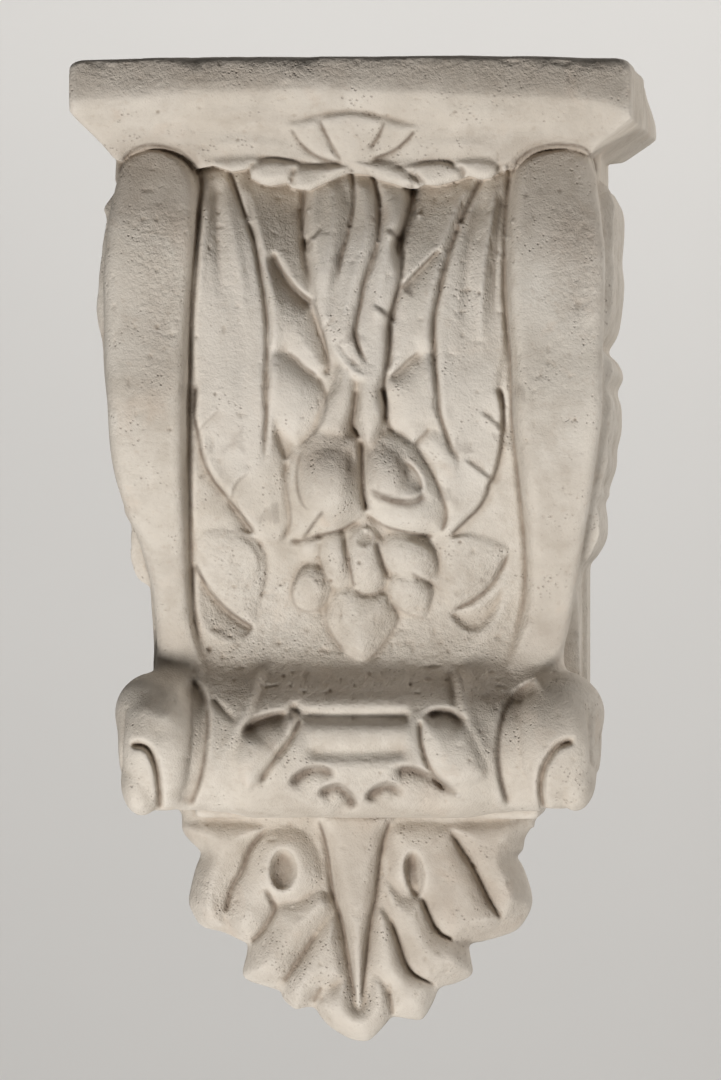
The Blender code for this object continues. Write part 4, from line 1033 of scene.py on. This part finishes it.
STAIN_AND_PAINTED_LIGHT_PATCHES = [  # outlines in the front view, how much; below zero darkens with a brown film (dirt, and painted shade on the band tops, fruit tops, roll top and hanging leaf), above zero lightens (clean plaster, and painted light on the leaf sheets)
    ([(66, 60), (330, 54), (630, 58), (640, 100), (560, 93), (420, 92), (290, 89), (180, 91), (78, 98)], -0.75),
    ([(118, 150), (192, 152), (196, 230), (150, 222), (112, 216)], -0.95),
    ([(514, 150), (592, 152), (600, 250), (560, 262), (512, 230)], -0.60),
    ([(306, 432), (364, 436), (366, 474), (340, 484), (304, 466)], -0.85),
    ([(366, 438), (410, 446), (412, 474), (384, 480), (366, 472)], -0.45),
    ([(200, 662), (300, 662), (460, 664), (522, 668), (500, 704), (380, 700), (240, 706)], -0.60),
    ([(150, 625), (190, 632), (208, 668), (158, 672)], -0.55),
    ([(522, 632), (566, 620), (556, 672), (508, 668)], -0.45),
    ([(190, 820), (530, 820), (530, 920), (440, 990), (362, 1036), (280, 995), (195, 925)], -0.38),
    ([(445, 830), (525, 830), (525, 925), (470, 960), (420, 930)], -0.38),
    ([(196, 215), (250, 230), (268, 300), (270, 440), (240, 480), (200, 430)], 0.85),
    ([(276, 290), (320, 320), (322, 430), (290, 440), (272, 400)], 0.85),
    ([(446, 270), (498, 250), (500, 430), (470, 500), (440, 430)], 0.60),
    ([(392, 320), (432, 320), (436, 440), (396, 430)], 0.40),
    ([(316, 250), (398, 250), (392, 374), (330, 360)], 1.0),
    ([(250, 180), (304, 188), (302, 270), (276, 260)], 0.55),
    ([(90, 112), (300, 104), (600, 108), (600, 150), (350, 165), (130, 150)], -0.28),
    ([(112, 138), (200, 140), (214, 172), (112, 172)], -0.35),
    ([(500, 140), (604, 140), (604, 170), (500, 172)], -0.25),
    ([(540, 480), (590, 470), (560, 640), (526, 620)], -0.38),
    ([(140, 300), (168, 310), (166, 410), (146, 400)], -0.40),
    ([(120, 300), (134, 300), (136, 420), (122, 420)], -0.25),
    ([(548, 215), (600, 225), (598, 300), (560, 300)], -0.30),
    ([(126, 545), (150, 560), (152, 610), (140, 600)], -0.30),
    ([(500, 690), (560, 700), (556, 790), (510, 790)], -0.35),
    ([(335, 830), (385, 830), (372, 960), (350, 960)], -0.50),
    ([(430, 840), (482, 840), (486, 910), (432, 910)], -0.35),
    ([(305, 436), (364, 438), (364, 468), (310, 468)], -0.30),
]


def wear_map():
    m = Relief(IMG_W, IMG_H, 0.0)
    for pts, v in ROUGH_PATCHES:
        m.patch(pts, v, 14.0)
    return np.clip(m.h, 0.0, 1.2)


# patches of brown film and paler plaster: stains and dirt, with painted shade and painted light
def stain_and_painted_light_map():
    m = Relief(IMG_W, IMG_H, 0.0)
    for pts, v in STAIN_AND_PAINTED_LIGHT_PATCHES:
        m.patch(pts, v, 15.0)
    return np.clip(m.h, -1.0, 1.0)


def worn(co_mm, no, rough, bumps, coarse):
    """Displacement along the normal, mm: hand-worked unevenness, gritty patches, pits, air bubbles."""
    x, t, z = co_mm[:, 0], co_mm[:, 1], co_mm[:, 2]
    px, py = project(x, t, z)
    front = smooth((-(no[:, 1]) - 0.05) / 0.5)
    r = sample(rough, px, py) * front
    p = co_mm
    if coarse:
        shown = 0.25 + 0.75 * front
        d = 0.20 * noise3(p, 15.0, 1) + 0.12 * shown * noise3(p, 6.5, 2)
        grit = noise3(p, 2.6, 4) + 0.7 * noise3(p, 1.5, 5)
        d = d + 0.10 * r * np.minimum(grit, 0.5)
        d = d - 1.4 * np.clip(noise3(p, 2.6, 6) - 0.66 + 0.16 * r, 0.0, 1.0) * shown
        return d + sample(bumps, px, py) * front
    return 0.03 * noise3(p, 2.2, 8)


def bump_map():
    m = Relief(IMG_W, IMG_H, 0.0)
    for spots, sign in ((BEADS, 1.0), (PINHOLES, -1.0)):
        for x, y, s in spots:
            x0, y0 = int(x) - 8, int(y) - 8
            gx = np.arange(x0, x0 + 17)[None, :] - x
            gy = np.arange(y0, y0 + 17)[:, None] - y
            rad = 2.5 * s if sign > 0 else 1.2 + 1.1 * s
            m.h[y0:y0 + 17, x0:x0 + 17] += sign * (1.15 if sign > 0 else 1.1) * s * np.exp(-(gx * gx + gy * gy) / (rad * rad))
    return m.h


def make_casting():
    casting = Casting()
    step = ((0.62, 0.85, 0.62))
    verts, quads = surface_net(casting, step)
    verts[:, 1] = np.where(verts[:, 1] < 0.3, 0.0, verts[:, 1])
    pts = np.stack([verts[:, 0], -verts[:, 1], verts[:, 2]], 1) * 0.001
    me = build_mesh("console_bracket_cast", pts, quads)
    rough, bumps = wear_map(), bump_map()

    def displace(me, coarse):
        co, no = vertex_arrays(me)
        mm = np.stack([co[:, 0], -co[:, 1], co[:, 2]], 1) * 1000.0
        d = worn(mm, no, rough, bumps, coarse) * smooth((mm[:, 1] - 0.4) / 3.0)
        co = co + no * (d * 0.001)[:, None]
        co[:, 1] = np.minimum(co[:, 1], 0.0)
        me.vertices.foreach_set("co", np.ascontiguousarray(co, np.float32).ravel())
        me.update()

    displace(me, True)
    ob = bpy.data.objects.new("console_bracket_cast", me)
    bpy.context.scene.collection.objects.link(ob)
    tris = len(quads) * 2
    limit = 197000
    if tris > limit:
        co, _ = vertex_arrays(me)
        z, t = co[:, 2] * 1000.0, co[:, 1] * -1000.0
        shown = np.where(z > 134.0, (t > 98.0) & (z < 179.0), np.where(z > -45.0, t > s_curve(z) - 24.0, np.where(z > -95.0, t > 52.0, t > 24.0)))
        away = ob.vertex_groups.new(name="away")
        away.add(np.nonzero(~shown)[0].tolist(), 1.0, "REPLACE")
        mod = ob.modifiers.new("Reduce_away", "DECIMATE")
        mod.decimate_type = "COLLAPSE"
        mod.vertex_group = "away"
        mod.vertex_group_factor = 1.0
        mod.ratio = float((shown.mean() * tris + (1.0 - shown.mean()) * tris * 0.08) / tris)
        mod = ob.modifiers.new("Reduce", "DECIMATE")
        mod.decimate_type = "COLLAPSE"
        mod.ratio = limit / (tris * float(shown.mean() + (1.0 - shown.mean()) * 0.08))
        mod.use_collapse_triangulate = True
        dg = bpy.context.evaluated_depsgraph_get()
        new = bpy.data.meshes.new_from_object(ob.evaluated_get(dg))
        ob.modifiers.clear()
        ob.vertex_groups.clear()
        old = ob.data
        ob.data = new
        new.name = "console_bracket_cast_mesh"
        bpy.data.meshes.remove(old)
    me = ob.data
    displace(me, False)
    facing = np.empty(len(me.polygons) * 3, np.float32)
    me.polygons.foreach_get("normal", facing)
    me.polygons.foreach_set("use_smooth", facing.reshape(-1, 3)[:, 1] < 0.97)
    me.update()
    shade_data(me, casting)
    print("casting", len(me.vertices), len(me.polygons), "from", tris)
    return ob


def shade_data(me, casting):
    """Vertex data for the finish: how hollow the surface is, dark lines of dust and painted shade in the cuts, where it
    is gritty, and patches of stain with painted light and shade.
    """
    co, no = vertex_arrays(me)
    n = len(me.edges)
    ed = np.empty(n * 2, np.int32)
    me.edges.foreach_get("vertices", ed)
    ed = ed.reshape(-1, 2)
    a, b = ed[:, 0], ed[:, 1]
    v = co[b] - co[a]
    ln = np.maximum(np.linalg.norm(v, axis=1), 1e-7)
    ca = (no[a] * v).sum(1) / ln
    cb = -(no[b] * v).sum(1) / ln
    num = len(co)
    deg = np.bincount(a, minlength=num) + np.bincount(b, minlength=num)
    h = (np.bincount(a, ca, num) + np.bincount(b, cb, num)) / np.maximum(deg, 1)
    wide = h.copy()
    for k in range(10):
        s = (np.bincount(a, wide[b], num) + np.bincount(b, wide[a], num)) / np.maximum(deg, 1)
        wide = 0.5 * wide + 0.5 * s
        if k == 1:
            fine = wide.copy()
    mm = np.stack([co[:, 0], -co[:, 1], co[:, 2]], 1) * 1000.0
    px, py = project(mm[:, 0], mm[:, 1], mm[:, 2])
    front = smooth((-(no[:, 1]) - 0.05) / 0.5)
    shade_and_dust_lines = sample(casting.shade_and_dust_lines, px, py) * smooth((-(no[:, 1]) + 0.1) / 0.3)
    data = {"hollow": np.clip(0.6 * fine / 0.16 + 0.7 * wide / 0.10, -1.0, 1.5),
            "crevice": shade_and_dust_lines,
            "gritty": sample(wear_map(), px, py) * front,
            "stain_and_painted_light": sample(stain_and_painted_light_map(), px, py) * front}
    print("hollow", np.percentile(data["hollow"], (5, 25, 50, 75, 90, 97, 99.5)).round(2))
    wall = mm[:, 1] < 0.6
    for name, val in data.items():
        val = np.where(wall, 0.0, val)
        at = me.attributes.new(name, "FLOAT", "POINT")
        at.data.foreach_set("value", np.ascontiguousarray(val, np.float32))


# ------------------------------------------------------------------ finish
def plaster():
    mat = bpy.data.materials.new("plaster_finish")
    mat.use_nodes = True
    nt = mat.node_tree
    nt.nodes.clear()
    N = nt.nodes.new
    L = nt.links.new
    out = N("ShaderNodeOutputMaterial")
    bsdf = N("ShaderNodeBsdfPrincipled")
    L(bsdf.outputs[0], out.inputs[0])
    bsdf.inputs["Metallic"].default_value = 0.0
    bsdf.inputs["IOR"].default_value = 1.45
    bsdf.inputs["Specular IOR Level"].default_value = 0.28
    coord = N("ShaderNodeTexCoord")

    def noise(scale, detail=4.0, rough=0.55, dist=0.0):
        n = N("ShaderNodeTexNoise")
        n.inputs["Scale"].default_value = scale
        n.inputs["Detail"].default_value = detail
        n.inputs["Roughness"].default_value = rough
        n.inputs["Distortion"].default_value = dist
        L(coord.outputs["Object"], n.inputs["Vector"])
        return n.outputs["Fac"]

    def ramp(src, *stops):
        r = N("ShaderNodeValToRGB")
        L(src, r.inputs[0])
        while len(r.color_ramp.elements) < len(stops):
            r.color_ramp.elements.new(0.5)
        for e, (pos, col) in zip(r.color_ramp.elements, stops):
            e.position = pos
            e.color = (*col, 1.0) if len(col) == 3 else col
        return r.outputs[0]

    def mix(fac, a, b, mode="MIX"):
        m = N("ShaderNodeMix")
        m.data_type = "RGBA"
        m.blend_type = mode
        m.clamp_factor = True
        for sock, val in ((m.inputs[0], fac), (m.inputs[6], a), (m.inputs[7], b)):
            if hasattr(val, "is_linked"):
                L(val, sock)
            else:
                sock.default_value = val if isinstance(val, float) else (*val, 1.0)
        return m.outputs[2]

    def math_(op, a, b=0.5, c=0.0):
        m = N("ShaderNodeMath")
        m.operation = op
        for sock, val in zip(m.inputs, (a, b, c)):
            if hasattr(val, "is_linked"):
                L(val, sock)
            else:
                sock.default_value = val
        return m.outputs[0]

    def remap(src, a, b, c=0.0, d=1.0):
        m = N("ShaderNodeMapRange")
        L(src, m.inputs["Value"])
        for k, v in (("From Min", a), ("From Max", b), ("To Min", c), ("To Max", d)):
            m.inputs[k].default_value = v
        return m.outputs[0]

    hollow = N("ShaderNodeAttribute"); hollow.attribute_name = "hollow"
    gritty = N("ShaderNodeAttribute"); gritty.attribute_name = "gritty"
    crevice = N("ShaderNodeAttribute"); crevice.attribute_name = "crevice"
    stain_and_painted_light = N("ShaderNodeAttribute"); stain_and_painted_light.attribute_name = "stain_and_painted_light"

    cream = ramp(noise(9.0, 5.0, 0.6), (0.30, (0.640, 0.582, 0.508)), (0.52, (0.690, 0.635, 0.562)), (0.72, (0.720, 0.675, 0.610)))
    # broad grey-cool and warm clouds
    cloud = ramp(noise(26.0, 4.0, 0.6, 0.4), (0.36, (0.90, 0.885, 0.865)), (0.60, (1.0, 1.0, 1.0)))
    col = mix(0.85, cream, cloud, "MULTIPLY")
    patchy = ramp(noise(64.0, 6.0, 0.68, 0.25), (0.38, (0.88, 0.865, 0.85)), (0.50, (1.0, 1.0, 1.0)), (0.62, (1.06, 1.06, 1.06)))
    col = mix(0.9, col, patchy, "MULTIPLY")
    tint = remap(noise(46.0, 3.0, 0.55, 0.6), 0.60, 0.74)
    col = mix(math_("MULTIPLY", tint, 0.35), col, (0.66, 0.53, 0.42))
    speck = remap(noise(420.0, 2.0, 0.5), 0.60, 0.74)
    col = mix(math_("MULTIPLY", speck, 0.30), col, (0.50, 0.41, 0.33))
    # brown film: dirt and painted shade; paler mix: clean plaster and painted light
    film_and_painted_shade = math_("MULTIPLY", remap(stain_and_painted_light.outputs["Fac"], 0.0, -1.0), remap(noise(75.0, 5.0, 0.65, 0.3), 0.30, 0.64, 0.45, 1.0))
    col = mix(math_("MULTIPLY", film_and_painted_shade, 0.62), col, (0.415, 0.350, 0.290))
    col = mix(math_("MULTIPLY", remap(stain_and_painted_light.outputs["Fac"], 0.0, 1.0), 0.50), col, (0.80, 0.752, 0.690))
    # hollows darkened: dust and painted shade; high edges lightened: rubbed clean plaster and painted highlight
    dust_and_painted_shade = remap(hollow.outputs["Fac"], 0.10, 1.1)
    dust_and_painted_shade = math_("MULTIPLY", dust_and_painted_shade, remap(noise(120.0, 4.0, 0.6), 0.25, 0.65, 0.55, 1.0))
    col = mix(math_("MULTIPLY", dust_and_painted_shade, 0.62), col, (0.36, 0.285, 0.215))
    # near-black lines in the cuts: dust and painted shade
    cut = math_("MULTIPLY", remap(crevice.outputs["Fac"], 0.12, 0.85), remap(noise(150.0, 4.0, 0.6), 0.28, 0.62, 0.45, 1.0))
    col = mix(math_("MULTIPLY", cut, 0.80), col, (0.165, 0.125, 0.095))
    # painted highlight on high edges, with rubbed clean plaster
    rubbed_edge_and_highlight = remap(hollow.outputs["Fac"], -0.15, -0.8)
    col = mix(math_("MULTIPLY", rubbed_edge_and_highlight, 0.30), col, (0.80, 0.745, 0.675))
    grain = remap(noise(330.0, 5.0, 0.7), 0.34, 0.60)
    col = mix(math_("MULTIPLY", math_("SUBTRACT", 1.0, grain), math_("MULTIPLY_ADD", gritty.outputs["Fac"], 0.30, 0.05)), col, (0.47, 0.40, 0.335))
    L(remap(noise(60.0, 4.0, 0.6), 0.3, 0.7, 0.80, 0.95), bsdf.inputs["Roughness"])

    fine = noise(1400.0, 3.0, 0.6)
    mid = noise(480.0, 4.0, 0.65)
    vor = N("ShaderNodeTexVoronoi")
    vor.inputs["Scale"].default_value = 520.0
    L(coord.outputs["Object"], vor.inputs["Vector"])
    pits = remap(vor.outputs["Distance"], 0.05, 0.30)
    keep = remap(noise(70.0, 3.0, 0.6), 0.50, 0.64)
    pits = math_("MULTIPLY_ADD", math_("SUBTRACT", 1.0, pits), math_("MULTIPLY", keep, -1.0), 1.0)
    col = mix(math_("MULTIPLY", math_("SUBTRACT", 1.0, pits), 0.42), col, (0.34, 0.275, 0.215))
    L(col, bsdf.inputs["Base Color"])
    h = math_("MULTIPLY_ADD", fine, 0.40, math_("MULTIPLY", mid, math_("MULTIPLY_ADD", gritty.outputs["Fac"], 1.05, 0.60)))
    h = math_("MULTIPLY_ADD", pits, 0.7, h)
    bump = N("ShaderNodeBump")
    bump.inputs["Strength"].default_value = 0.9
    bump.inputs["Distance"].default_value = 0.0007
    L(h, bump.inputs["Height"])
    L(bump.outputs["Normal"], bsdf.inputs["Normal"])
    return mat


def stage_material(name, color, rough):
    mat = bpy.data.materials.new(name)
    mat.use_nodes = True
    nt = mat.node_tree
    bsdf = nt.nodes["Principled BSDF"]
    coord = nt.nodes.new("ShaderNodeTexCoord")
    n = nt.nodes.new("ShaderNodeTexNoise")
    n.inputs["Scale"].default_value = 3.0
    n.inputs["Detail"].default_value = 6.0
    r = nt.nodes.new("ShaderNodeValToRGB")
    r.color_ramp.elements[0].position = 0.3
    r.color_ramp.elements[0].color = (*[c * 0.97 for c in color], 1)
    r.color_ramp.elements[1].position = 0.7
    r.color_ramp.elements[1].color = (*color, 1)
    nt.links.new(coord.outputs["Object"], n.inputs["Vector"])
    nt.links.new(n.outputs["Fac"], r.inputs[0])
    nt.links.new(r.outputs[0], bsdf.inputs["Base Color"])
    bsdf.inputs["Roughness"].default_value = rough
    return mat


def stage():
    """Floor that sweeps up into a backdrop."""
    prof = [(-3.2, -1.80), (0.7, -1.80)]
    for i in range(1, 13):
        a = math.pi / 2 * i / 12
        prof.append((0.7 + 0.8 * math.sin(a), -1.80 + 0.8 * (1 - math.cos(a))))
    prof.append((1.5, 3.0))
    verts, faces = [], []
    for y, z in prof:
        verts += [(-4.0, y, z), (4.0, y, z)]
    for i in range(len(prof) - 1):
        faces.append((2 * i, 2 * i + 1, 2 * i + 3, 2 * i + 2))
    me = bpy.data.meshes.new("studio_sweep")
    me.from_pydata(verts, [], faces)
    me.update()
    for p in me.polygons:
        p.use_smooth = True
    ob = bpy.data.objects.new("studio_sweep", me)
    bpy.context.scene.collection.objects.link(ob)
    me.materials.append(stage_material("studio_paper", (0.72, 0.71, 0.695), 0.95))


def lights():
    def area(name, loc, target, size, power, color=(1, 1, 1)):
        li = bpy.data.lights.new(name, "AREA")
        li.shape = "RECTANGLE"
        li.size, li.size_y = size
        li.energy = power
        li.color = color
        ob = bpy.data.objects.new(name, li)
        ob.location = loc
        ob.rotation_euler = (Vector(target) - Vector(loc)).to_track_quat("-Z", "Y").to_euler()
        ob.visible_camera = False
        bpy.context.scene.collection.objects.link(ob)
        return ob

    area("key", (-0.576, -1.516, -1.196), (0.0, -0.06, 0.02), (0.58, 0.42), 37.0, (1.0, 0.985, 0.962))
    area("side", (1.3, -0.16, 0.16), (0.0, -0.05, 0.10), (0.5, 0.6), 8.6, (1.0, 0.978, 0.95))
    area("backdrop_glow", (0.0, 0.50, 0.95), (0.0, 1.5, -0.05), (1.8, 0.9), 14.0, (1.0, 0.99, 0.975))
    world = bpy.data.worlds.new("studio_air")
    world.use_nodes = True
    bg = world.node_tree.nodes["Background"]
    bg.inputs[0].default_value = (1.0, 0.95, 0.90, 1.0)
    bg.inputs[1].default_value = 0.03
    bpy.context.scene.world = world


def camera():
    cam = bpy.data.cameras.new("front_view")
    cam.sensor_fit = "AUTO"
    cam.sensor_width = 36.0
    cam.lens = FOCAL / IMG_H * 36.0
    cam.clip_start = 0.05
    cam.clip_end = 50.0
    ob = bpy.data.objects.new("front_view", cam)
    t = Vector(TARGET)
    ob.location = t + Vector((SIN_A, -COS_A, 0.0)) * DISTANCE
    ob.rotation_euler = (t - ob.location).to_track_quat("-Z", "Y").to_euler()
    bpy.context.scene.collection.objects.link(ob)
    bpy.context.scene.camera = ob


bpy.context.scene.view_settings.view_transform = "Standard"
camera()
stage()
lights()
cast = make_casting()
cast.data.materials.append(plaster())
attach(cast, "root")
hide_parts("console_bracket")
